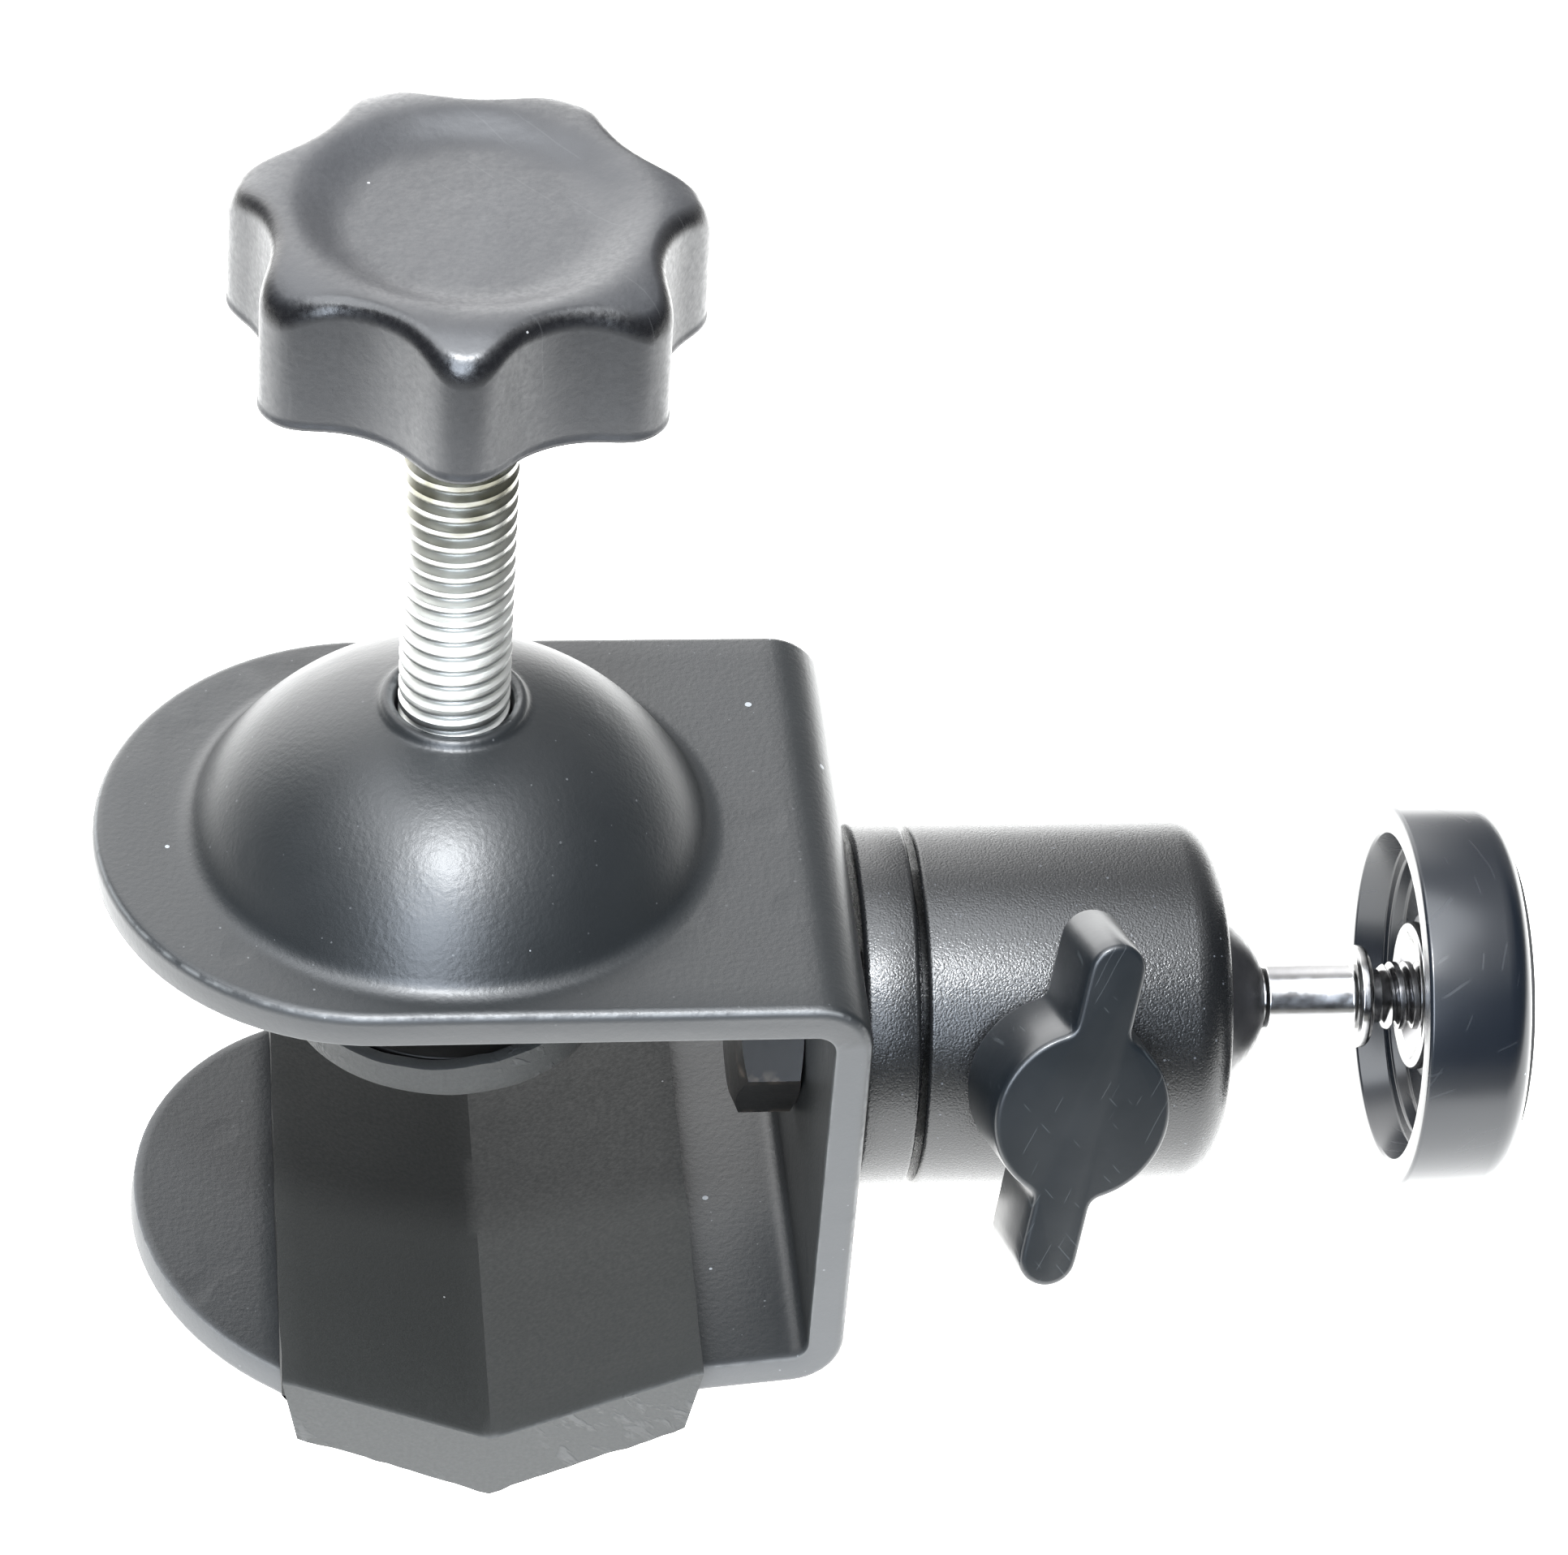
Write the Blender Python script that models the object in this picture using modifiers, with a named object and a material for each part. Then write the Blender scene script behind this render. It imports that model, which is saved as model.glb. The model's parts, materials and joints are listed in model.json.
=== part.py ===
"""Super clamp: a bent steel C frame with a domed top plate, a rubber V pad, a star-knob clamp screw with a
swivel foot, and a small ball head with a wing-knob lock and a 1/4 inch locking platform.

Lengths are in millimetres until they reach Blender, which works in metres. +X runs from the open end of the
jaw to the ball head, +Z up along the clamp screw, and the origin is where the screw's axis meets the V pad."""

from math import acos, atan2, cos, pi, radians, sin, sqrt

import bmesh
import bpy
from mathutils import Euler, Matrix, Vector

MM = 0.001
GAP = 0.3

# Frame
PLATE_TOP = 46.2
STRIP_WIDTH = 50.0
STRIP_THICKNESS = 3.3
WALL_OUTER = 34.8
BEND_OUTER = 5.0
TOP_END_CENTRE = -6.8
LOW_END_CENTRE = -4.0
END_RADIUS_X = 24.0
DOME_RADIUS = 22.4
DOME_HEIGHT = 14.2
COLLAR_RADIUS = 6.3
# The lower plate's upper surface, from the bend to its free end: (x, z).
LOW_PLATE = ((29.5, 3.9), (21.0, 2.9), (3.5, -4.4), (-14.0, 0.9), (-34.0, 3.2))

# V pad
PAD_CENTRE = 3.5
PAD_HALF = 18.6
PAD_LENGTH = 57.0
V_SLOPE = 0.435
V_BOTTOM = -V_SLOPE * PAD_CENTRE
LIP_DEPTH = 8.1

# Clamp screw: 3/8-16 UNC
SCREW_RADIUS = 9.525 / 2
SCREW_HOLE = SCREW_RADIUS + GAP
HEX_3_8 = 14.3
FOOT_BALL = (3.8, PLATE_TOP - 12.2)
NECK_RADIUS = 2.3
NUT_HEIGHT = 6.5

# Star knob
KNOB_BOTTOM = PLATE_TOP + 51.8
KNOB_HEIGHT = 12.7
KNOB_RADIUS = 19.7
KNOB_LOBES = 7
KNOB_SCALLOP = (25.8, 9.5)
KNOB_TURN = radians(266)
HEAD_BOTTOM = KNOB_BOTTOM + 2.6
HEAD_HEIGHT = 6.2

# Swivel foot
FOOT_BOTTOM = PLATE_TOP - 19.5
BOOT_RADIUS = 14.5
BOOT_FLOOR = 1.2
FOOT_DISC_RADIUS = 12.5
FOOT_DISC_THICKNESS = 1.4
RING_BOTTOM = 2.5  # above the centre of the ball end

# Ball head, along +X
HEAD_AXIS = PLATE_TOP - 22.7
HEAD_RADIUS = 16.4
BOLT_RADIUS = 4.85
BOLT_HEX = 17.0
BASE_START = WALL_OUTER + 1.1
BASE_END = 40.8
SPIGOT_RADIUS = 12.0
SPIGOT_END = 45.5
HOUSING_START = 41.5
HOUSING_END = 69.0
SHOULDER = 3.7
BALL_X = 65.8
BALL_RADIUS = 8.4
BORE_RADIUS = 8.9
STEM_RADIUS = 3.4
STUD_RADIUS = 3.1
STUD_END = 97.5
DISC_X = 85.8
DISC_RADIUS = 17.4

# Lock screw: M6, its knob leaning towards the platform
LOCK_X = 50.0
LOCK_LEAN = radians(7)
LOCK_RISE = radians(21.7)
LOCK_RADIUS = 2.85
PLUNGER_END = 10.5
WING_ROOT = 18.6
LOCK_END = WING_ROOT + 6.5
WING_DEPTH = 9.0
WING_HUB = 8.0
WING_REACH = 16.0
WING_HALF = 2.8
WING_TWIST = radians(-11)


def clear_scene():
    for obj in list(bpy.data.objects):
        bpy.data.objects.remove(obj, do_unlink=True)


def new_collection(name):
    collection = bpy.data.collections.new(name)
    bpy.context.scene.collection.children.link(collection)
    return collection


clear_scene()
PARTS = new_collection("super_clamp")
CUTTERS = new_collection("cutters")


def make_material(name, colour, roughness, metallic):
    material = bpy.data.materials.new(name)
    material.use_nodes = True
    shader = material.node_tree.nodes["Principled BSDF"]
    shader.inputs["Base Color"].default_value = (*colour, 1.0)
    shader.inputs["Roughness"].default_value = roughness
    shader.inputs["Metallic"].default_value = metallic
    return material


POWDER_COAT = make_material("black_powder_coat", (0.025, 0.025, 0.028), 0.4, 0.0)
ZINC = make_material("zinc_plate", (0.72, 0.72, 0.7), 0.28, 1.0)
DARK_STEEL = make_material("black_oxide", (0.06, 0.06, 0.065), 0.45, 0.8)
RUBBER = make_material("black_rubber", (0.03, 0.03, 0.031), 0.85, 0.0)
SATIN_PLASTIC = make_material("satin_black_plastic", (0.03, 0.03, 0.034), 0.38, 0.0)
GLOSS_PLASTIC = make_material("gloss_black_plastic", (0.02, 0.022, 0.03), 0.2, 0.0)
ANODISED = make_material("black_anodised", (0.035, 0.035, 0.04), 0.42, 0.7)
CHROME = make_material("chrome", (0.85, 0.85, 0.86), 0.08, 1.0)
BRASS = make_material("brass", (0.7, 0.52, 0.22), 0.3, 1.0)


def place(obj, location=(0, 0, 0), rotation=None):
    """Location in millimetres, rotation as a 3 x 3 matrix."""
    turn = (rotation or Matrix.Identity(3)).to_4x4()
    obj.matrix_world = Matrix.Translation(Vector(location) * MM) @ turn
    return obj


def along_x():
    """Turns local +Z into +X."""
    return Euler((0, pi / 2, 0)).to_matrix()


def upright():
    """Turns a shape drawn in the XY plane into the XZ plane."""
    return Euler((pi / 2, 0, 0)).to_matrix()


def as_mesh(obj):
    """The evaluated shape of a curve or of a stack of modifiers, as a plain mesh with its caps welded."""
    bpy.context.view_layer.update()
    graph = bpy.context.evaluated_depsgraph_get()
    mesh = bpy.data.meshes.new_from_object(obj.evaluated_get(graph))
    shape = bmesh.new()
    shape.from_mesh(mesh)
    bmesh.ops.remove_doubles(shape, verts=shape.verts, dist=0.000005)
    bmesh.ops.recalc_face_normals(shape, faces=shape.faces)
    shape.to_mesh(mesh)
    shape.free()
    made = bpy.data.objects.new(obj.name, mesh)
    made.matrix_world = obj.matrix_world
    for collection in obj.users_collection:
        collection.objects.link(made)
    name = obj.name
    bpy.data.objects.remove(obj, do_unlink=True)
    made.name = name
    return made


def turned(name, profile, steps=40, collection=PARTS):
    """A solid of revolution about local Z. The profile runs down the outer side; a ring's profile closes."""
    mesh = bpy.data.meshes.new(name)
    is_ring = min(radius for radius, _ in profile) > 0
    edges = [(i, i + 1) for i in range(len(profile) - 1)]
    if is_ring:
        edges.append((len(profile) - 1, 0))
    mesh.from_pydata([(radius * MM, 0, height * MM) for radius, height in profile], edges, [])
    obj = bpy.data.objects.new(name, mesh)
    collection.objects.link(obj)
    screw = obj.modifiers.new("turn", "SCREW")
    screw.axis = "Z"
    screw.steps = steps
    screw.render_steps = steps
    screw.use_merge_vertices = True
    screw.merge_threshold = 0.00001
    return as_mesh(obj)


def arc(centre, radius, start, end, count):
    """Points of an arc, angles in degrees."""
    angles = [radians(start + (end - start) * i / count) for i in range(count + 1)]
    return [(centre[0] + radius * cos(a), centre[1] + radius * sin(a)) for a in angles]


def prism(name, outline, thickness, collection=PARTS):
    """A flat outline, extruded by half its thickness to each side of its plane."""
    curve = bpy.data.curves.new(name, "CURVE")
    curve.dimensions = "2D"
    curve.fill_mode = "BOTH"
    curve.extrude = thickness * MM / 2
    spline = curve.splines.new("POLY")
    spline.points.add(len(outline) - 1)
    for point, (x, y) in zip(spline.points, outline):
        point.co = (x * MM, y * MM, 0, 1)
    spline.use_cyclic_u = True
    obj = bpy.data.objects.new(name, curve)
    collection.objects.link(obj)
    return as_mesh(obj)


def hexagon(name, across_flats, height, collection=PARTS):
    """A hexagonal prism that stands on z = 0, its corners towards local X."""
    shape = bmesh.new()
    radius = across_flats / sqrt(3) * MM
    bmesh.ops.create_cone(
        shape, cap_ends=True, segments=6, radius1=radius, radius2=radius, depth=height * MM
    )
    bmesh.ops.translate(shape, verts=shape.verts, vec=(0, 0, height * MM / 2))
    mesh = bpy.data.meshes.new(name)
    shape.to_mesh(mesh)
    shape.free()
    obj = bpy.data.objects.new(name, mesh)
    collection.objects.link(obj)
    return obj


def cylinder(name, radius, bottom, top, steps=32):
    return turned(name, [(0, top), (radius, top), (radius, bottom), (0, bottom)], steps, CUTTERS)


def combine(obj, other, operation):
    other.hide_render = True
    other.display_type = "WIRE"
    modifier = obj.modifiers.new(other.name, "BOOLEAN")
    modifier.operation = operation
    modifier.object = other
    modifier.solver = "EXACT"


def finish(obj, material, smooth_angle=35):
    obj.data.materials.clear()
    obj.data.materials.append(material)
    obj.data.shade_smooth()
    obj.data.set_sharp_from_angle(angle=radians(smooth_angle))
    return obj


def offset_path(points, distance):
    """The path moved to its left by a distance, its corners mitred."""
    moved = []
    for i, point in enumerate(points):
        before = Vector(points[max(i - 1, 0)])
        after = Vector(points[min(i + 1, len(points) - 1)])
        here = Vector(point)
        normals = []
        for a, b in ((before, here), (here, after)):
            if (b - a).length > 0:
                direction = (b - a).normalized()
                normals.append(Vector((-direction.y, direction.x)))
        middle = sum(normals, Vector((0, 0))).normalized()
        moved.append(tuple(here + middle * (distance / middle.dot(normals[0]))))
    return moved


def strip_outline():
    """The bent strip seen from the side: top plate, back wall and valley-shaped lower plate."""
    bend_x = WALL_OUTER - BEND_OUTER
    low_start = LOW_PLATE[0][1] - STRIP_THICKNESS
    outer = [(-40, PLATE_TOP)]
    outer += arc((bend_x, PLATE_TOP - BEND_OUTER), BEND_OUTER, 90, 0, 6)
    outer += arc((bend_x, low_start + BEND_OUTER), BEND_OUTER, 0, -90, 6)
    outer += offset_path(LOW_PLATE, STRIP_THICKNESS)[1:]
    inner_bend = BEND_OUTER - STRIP_THICKNESS
    inner = list(reversed(LOW_PLATE[1:]))
    inner += arc((bend_x, low_start + BEND_OUTER), inner_bend, -90, 0, 4)
    inner += arc((bend_x, PLATE_TOP - BEND_OUTER), inner_bend, 0, 90, 4)
    inner += [(-40, PLATE_TOP - STRIP_THICKNESS)]
    return outer + inner


def end_outline(centre):
    """A plate's plan: straight sides and a rounded free end."""
    half = STRIP_WIDTH / 2
    bow = [
        (centre + END_RADIUS_X * cos(a), half * sin(a))
        for a in (radians(90 + 180 * i / 28) for i in range(29))
    ]
    return bow + [(60, -half), (60, half)]


def sphere_arc(radius, centre_height, last_r, count):
    """Points (r, h) from the top of a sphere on the turning axis down to where its radius is last_r."""
    slope = acos(last_r / radius) * 180 / pi
    return [(0, centre_height + radius)] + arc((0, centre_height), radius, 90, slope, count)[1:]


def dome_sphere():
    radius = (DOME_RADIUS**2 + DOME_HEIGHT**2) / (2 * DOME_HEIGHT)
    return radius, PLATE_TOP + DOME_HEIGHT - radius


def clamp_frame():
    frame = place(prism("clamp_frame", strip_outline(), STRIP_WIDTH + 10), rotation=upright())
    top_plan = prism("top_plan", end_outline(TOP_END_CENTRE), 50, CUTTERS)
    place(top_plan, (0, 0, PLATE_TOP))
    low_plan = place(prism("low_plan", end_outline(LOW_END_CENTRE), 50, CUTTERS), (0, 0, -2))
    combine(top_plan, low_plan, "UNION")
    combine(frame, top_plan, "INTERSECT")
    radius, centre = dome_sphere()
    cap = sphere_arc(radius, centre, DOME_RADIUS - 0.7, 7)
    foot = DOME_RADIUS + 0.9
    cap += [(foot, PLATE_TOP), (foot, PLATE_TOP - 1.5), (0, PLATE_TOP - 1.5)]
    combine(frame, turned("dome_cap", cap, 40, CUTTERS), "UNION")
    rim = PLATE_TOP + DOME_HEIGHT
    combine(frame, cylinder("dome_collar", COLLAR_RADIUS, rim - 5, rim - 0.1), "UNION")
    inside = radius - STRIP_THICKNESS
    underside = PLATE_TOP - STRIP_THICKNESS
    hollow = sphere_arc(inside, centre, sqrt(inside**2 - (underside + 0.9 - centre) ** 2), 6)
    hollow += [(21.6, underside - 0.05), (21.6, underside - 3), (0, underside - 3)]
    combine(frame, turned("dome_hollow", hollow, 36, CUTTERS), "DIFFERENCE")
    bore = [(0, rim + 2), (5.9, rim + 2), (5.9, rim - 0.6), (SCREW_HOLE, rim - 1.5)]
    bore += [(SCREW_HOLE, rim - 8), (0, rim - 8)]
    combine(frame, turned("screw_bore", bore, 32, CUTTERS), "DIFFERENCE")
    bolt_hole = cylinder("bolt_hole", BOLT_RADIUS + GAP, WALL_OUTER - 6, WALL_OUTER + 2)
    place(bolt_hole, (0, 0, HEAD_AXIS), along_x())
    combine(frame, bolt_hole, "DIFFERENCE")
    return finish(frame, POWDER_COAT)


def weld_nut():
    """Hexagonal nut welded under the crown of the dome."""
    radius, centre = dome_sphere()
    corner = HEX_3_8 / sqrt(3)
    top = centre + sqrt((radius - STRIP_THICKNESS) ** 2 - corner**2) - GAP - 0.1
    nut = place(hexagon("weld_nut", HEX_3_8, NUT_HEIGHT), (0, 0, top - NUT_HEIGHT))
    combine(nut, cylinder("nut_bore", SCREW_HOLE, top - 10, top + 4), "DIFFERENCE")
    return finish(nut, DARK_STEEL)


def v_height(x):
    return V_BOTTOM + V_SLOPE * abs(x - PAD_CENTRE)


def v_pad():
    """Rubber V block whose end lips hang over both edges of the lower plate."""
    left = PAD_CENTRE - PAD_HALF
    right = PAD_CENTRE + PAD_HALF
    side = v_height(left)
    outline = [(left, side), (PAD_CENTRE, V_BOTTOM), (right, side)]
    outline += [(right - 1.3, side - LIP_DEPTH - 1.0), (PAD_CENTRE, V_BOTTOM - LIP_DEPTH)]
    outline += [(left + 1.3, side - LIP_DEPTH - 0.3)]
    pad = place(prism("v_pad", outline, PAD_LENGTH), rotation=upright())
    seat = [(x, z + GAP) for x, z in LOW_PLATE]
    seat += [(-34, -20), (29.5, -20)]
    seat_cut = prism("pad_seat", seat, STRIP_WIDTH + 2 * GAP, CUTTERS)
    combine(pad, place(seat_cut, rotation=upright()), "DIFFERENCE")
    return finish(pad, RUBBER)


def clamp_screw():
    """Threaded rod, drawn plain at its major diameter, with a ball end below and a hexagon head above."""
    ball_radius, ball_height = FOOT_BALL
    neck_start = ball_height + sqrt(ball_radius**2 - NECK_RADIUS**2)
    rod = [(0, HEAD_BOTTOM + 1), (SCREW_RADIUS, HEAD_BOTTOM + 1)]
    rod += [(SCREW_RADIUS, neck_start + 3.6), (SCREW_RADIUS - 1, neck_start + 2.6)]
    rod += [(NECK_RADIUS, neck_start + 2.2), (NECK_RADIUS, neck_start)]
    neck_angle = acos(NECK_RADIUS / ball_radius) * 180 / pi
    end = arc((0, ball_height), ball_radius, neck_angle, -90, 7)[1:-1]
    rod += end + [(0, ball_height - ball_radius)]
    screw = turned("clamp_screw", rod, 24)
    head = hexagon("screw_head", HEX_3_8, HEAD_HEIGHT, CUTTERS)
    combine(screw, place(head, (0, 0, HEAD_BOTTOM)), "UNION")
    return finish(screw, ZINC)


def knob_outline():
    """Seven lobes: a circle with a round scallop between each pair of lobes."""
    distance, scallop = KNOB_SCALLOP
    pitch = 2 * pi / KNOB_LOBES
    per_lobe = 10
    points = []
    for i in range(KNOB_LOBES * per_lobe):
        angle = pitch * i / per_lobe
        away = (angle % pitch) - pitch / 2
        radius = KNOB_RADIUS
        reach = scallop**2 - (distance * sin(away)) ** 2
        if reach > 0:
            radius = min(radius, distance * cos(away) - sqrt(reach))
        points.append((radius * cos(KNOB_TURN + angle), radius * sin(KNOB_TURN + angle)))
    return points


def star_knob():
    """Moulded knob with a dished top and a hexagonal pocket, open below, that holds the screw's head."""
    knob = prism("star_knob", knob_outline(), 2 * KNOB_HEIGHT)
    place(knob, (0, 0, KNOB_BOTTOM + KNOB_HEIGHT / 2))
    top = KNOB_BOTTOM + KNOB_HEIGHT
    body = [(0, top - 1.6), (6, top - 1.3), (11, top - 0.4), (14, top)]
    body += arc((KNOB_RADIUS - 3.8, top - 3.6), 3.6, 80, 5, 5)
    body += [(KNOB_RADIUS + 0.3, KNOB_BOTTOM + 0.8), (KNOB_RADIUS - 0.5, KNOB_BOTTOM)]
    body += [(0, KNOB_BOTTOM)]
    combine(knob, turned("knob_body", body, 42, CUTTERS), "INTERSECT")
    depth = HEAD_BOTTOM + HEAD_HEIGHT + GAP - KNOB_BOTTOM
    pocket = hexagon("knob_pocket", HEX_3_8 + 2 * GAP, depth + 1, CUTTERS)
    combine(knob, place(pocket, (0, 0, KNOB_BOTTOM - 1)), "DIFFERENCE")
    return finish(knob, SATIN_PLASTIC)


def foot_disc():
    """Steel disc with a socket for the screw's ball end, its origin at the ball's centre."""
    ball_radius, ball_height = FOOT_BALL
    floor = FOOT_BOTTOM + BOOT_FLOOR + GAP - ball_height
    flange = floor + FOOT_DISC_THICKNESS
    socket = ball_radius + GAP
    groove = RING_BOTTOM - 2 * GAP
    profile = [(5.4, 3.3), (6.8, 3.3), (6.8, flange), (FOOT_DISC_RADIUS, flange)]
    profile += [(FOOT_DISC_RADIUS, floor), (0, floor), (0, -socket)]
    profile += arc((0, 0), socket, -90, 0, 6)[1:]
    profile += [(socket, groove), (5.4, groove)]
    start = profile.index((0, -socket))
    disc = turned("foot_disc", profile[start:] + profile[:start], 28)
    return finish(place(disc, (0, 0, ball_height)), DARK_STEEL)


def foot_ring():
    """Retaining ring above the ball end, which it keeps in the socket."""
    top = RING_BOTTOM + 0.7
    profile = [(3.3, top), (5.0, top), (5.0, RING_BOTTOM), (3.3, RING_BOTTOM)]
    return finish(place(turned("foot_ring", profile, 28), (0, 0, FOOT_BALL[1])), ZINC)


def foot_boot():
    """Rubber cup that wraps the foot's disc and grips what is clamped."""
    ball_height = FOOT_BALL[1]
    low = FOOT_BOTTOM - ball_height
    floor = low + BOOT_FLOOR
    inner = FOOT_DISC_RADIUS + GAP
    lip = floor + FOOT_DISC_THICKNESS + 2 * GAP
    profile = [(0, floor), (inner, floor), (inner, lip), (11.9, lip), (11.9, lip + 0.7)]
    profile += [(BOOT_RADIUS - 0.5, lip + 0.7), (BOOT_RADIUS, lip + 0.2)]
    profile += [(BOOT_RADIUS, low + 0.6), (BOOT_RADIUS - 0.6, low), (0, low)]
    return finish(place(turned("foot_boot", profile, 36), (0, 0, ball_height)), RUBBER)


def mount_bolt():
    """Hexagon bolt that holds the ball head on the frame's wall."""
    seat = WALL_OUTER - STRIP_THICKNESS - GAP
    bolt = place(hexagon("mount_bolt", BOLT_HEX, 5.5), (seat - 5.5, 0, HEAD_AXIS), along_x())
    profile = [(0, 13.3), (BOLT_RADIUS - 0.8, 13.3), (BOLT_RADIUS, 12.5), (BOLT_RADIUS, -1), (0, -1)]
    shank = turned("bolt_shank", profile, 24, CUTTERS)
    combine(bolt, place(shank, (seat, 0, HEAD_AXIS), along_x()), "UNION")
    return finish(bolt, DARK_STEEL)


def base_washer():
    profile = [(BOLT_RADIUS + GAP, 0.5), (14.0, 0.5), (14.0, 0), (BOLT_RADIUS + GAP, 0)]
    washer = turned("base_washer", profile, 32)
    return finish(place(washer, (WALL_OUTER + GAP, 0, HEAD_AXIS), along_x()), DARK_STEEL)


def ballhead_base():
    """Flange and spigot that close the housing from behind."""
    flange = BASE_END - BASE_START
    bore = BOLT_RADIUS + GAP
    profile = [(bore, SPIGOT_END - BASE_START), (SPIGOT_RADIUS, SPIGOT_END - BASE_START)]
    profile += [(SPIGOT_RADIUS, flange), (HEAD_RADIUS - 0.3, flange), (HEAD_RADIUS, flange - 0.3)]
    profile += [(HEAD_RADIUS, 0.4), (HEAD_RADIUS - 0.4, 0), (bore, 0)]
    base = turned("ballhead_base", profile, 40)
    return finish(place(base, (BASE_START, 0, HEAD_AXIS), along_x()), ANODISED)


def lock_direction():
    """Unit vector along the lock screw, outwards."""
    level = cos(LOCK_LEAN)
    return Vector((sin(LOCK_LEAN), -level * cos(LOCK_RISE), level * sin(LOCK_RISE)))


def lock_turn():
    """Turns local +Z along the lock screw, and local +Y along the wings."""
    outward = lock_direction()
    across = outward.cross(Vector((1, 0, 0))).normalized()
    wing = Matrix.Rotation(WING_TWIST, 3, outward) @ across
    side = wing.cross(outward)
    return Matrix((side, wing, outward)).transposed()


def ballhead_housing():
    """Barrel that holds the ball: its mouth closes to less than the ball's diameter."""
    seat = BALL_RADIUS + 0.25
    mouth = HOUSING_END - BALL_X
    mouth_angle = atan2(mouth, sqrt(seat**2 - mouth**2)) * 180 / pi
    length_back = HOUSING_START - BALL_X
    step_back = SPIGOT_END + GAP - BALL_X
    profile = arc((HEAD_RADIUS - SHOULDER, mouth - SHOULDER), SHOULDER, 90, 0, 4)
    profile += [(HEAD_RADIUS, length_back + 0.4), (HEAD_RADIUS - 0.4, length_back)]
    profile += [(SPIGOT_RADIUS + GAP, length_back), (SPIGOT_RADIUS + GAP, step_back)]
    profile += [(BORE_RADIUS, step_back), (BORE_RADIUS, 0)]
    profile += arc((0, 0), seat, 8, mouth_angle, 3)
    housing = turned("ballhead_housing", profile, 40)
    place(housing, (BALL_X, 0, HEAD_AXIS), along_x())
    hole = cylinder("lock_hole", LOCK_RADIUS + GAP, 5, 24, 28)
    combine(housing, place(hole, (LOCK_X, 0, HEAD_AXIS), lock_turn()), "DIFFERENCE")
    return finish(housing, ANODISED)


def ball_seat():
    """Cup behind the ball, with a conical back that the plunger wedges forward."""
    cup = BALL_RADIUS + GAP
    front = -4.8
    end = atan2(front, sqrt(cup**2 - front**2)) * 180 / pi
    profile = [(0, -cup)] + arc((0, 0), cup, -90, end, 4)[1:]
    profile += [(BORE_RADIUS - GAP, front), (BORE_RADIUS - GAP, -10.3), (3.8, -15.1), (0, -15.1)]
    seat = turned("ball_seat", profile, 28)
    return finish(place(seat, (BALL_X, 0, HEAD_AXIS), along_x()), BRASS)


def ball():
    """Ball with a short neck and a blind bore for the stem."""
    flat = 7.2
    first = atan2(flat, sqrt(BALL_RADIUS**2 - flat**2)) * 180 / pi
    profile = [(0, -1.5), (2.3, -1.5), (2.3, 8.5), (3.55, 8.5), (3.55, flat)]
    profile += arc((0, 0), BALL_RADIUS, first, -90, 10)[:-1] + [(0, -BALL_RADIUS)]
    return finish(place(turned("ball", profile, 28), (BALL_X, 0, HEAD_AXIS), along_x()), DARK_STEEL)


def ball_stem():
    """Stem, stop flange and 1/4-20 stud in one turned piece, its origin at the ball's centre."""
    end = STUD_END - BALL_X
    profile = [(0, end), (STUD_RADIUS - 0.6, end), (STUD_RADIUS, end - 0.6), (STUD_RADIUS, 19.1)]
    profile += [(2.4, 18.9), (2.4, 17.8), (4.3, 17.8), (4.6, 17.5), (4.6, 16.9), (4.3, 16.5)]
    profile += [(STEM_RADIUS, 16.5), (STEM_RADIUS, 9.1), (STEM_RADIUS - 0.3, 8.8), (2.0, 8.8)]
    profile += [(2.0, -1.2), (0, -1.2)]
    return finish(place(turned("ball_stem", profile, 24), (BALL_X, 0, HEAD_AXIS), along_x()), CHROME)


def lock_plunger():
    """Brass pin between the lock screw and the ball seat, its tip a cone."""
    profile = [(0, PLUNGER_END), (2.5, PLUNGER_END), (2.5, 7.2), (0.4, 5.1), (0, 5.1)]
    pin = turned("lock_plunger", profile, 24)
    return finish(place(pin, (LOCK_X, 0, HEAD_AXIS), lock_turn()), BRASS)


def lock_screw():
    """M6 stud moulded into the wing knob."""
    tip = PLUNGER_END + GAP
    profile = [(0, LOCK_END), (LOCK_RADIUS, LOCK_END), (LOCK_RADIUS, tip + 0.6)]
    profile += [(LOCK_RADIUS - 0.6, tip), (0, tip)]
    stud = turned("lock_screw", profile, 24)
    return finish(place(stud, (LOCK_X, 0, HEAD_AXIS), lock_turn()), ZINC)


def wing_outline():
    """Round hub with two straight wings, each with a rounded end."""
    tip = WING_REACH - WING_HALF
    join = 90 - atan2(WING_HALF, sqrt(WING_HUB**2 - WING_HALF**2)) * 180 / pi
    points = arc((0, tip), WING_HALF, 0, 180, 8)
    points += arc((0, 0), WING_HUB, 180 - join, 180 + join, 14)
    points += arc((0, -tip), WING_HALF, 180, 360, 8)
    points += arc((0, 0), WING_HUB, -join, join, 14)
    return points


def wing_knob():
    """Moulded butterfly knob, its blind bore open towards the housing."""
    knob = prism("wing_knob", wing_outline(), WING_DEPTH)
    knob.data.transform(Matrix.Translation((0, 0, (WING_ROOT + WING_DEPTH / 2) * MM)))
    place(knob, (LOCK_X, 0, HEAD_AXIS), lock_turn())
    bore = cylinder("wing_bore", LOCK_RADIUS + GAP, WING_ROOT - 1, LOCK_END + GAP, 24)
    combine(knob, place(bore, (LOCK_X, 0, HEAD_AXIS), lock_turn()), "DIFFERENCE")
    return finish(knob, GLOSS_PLASTIC)


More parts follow.
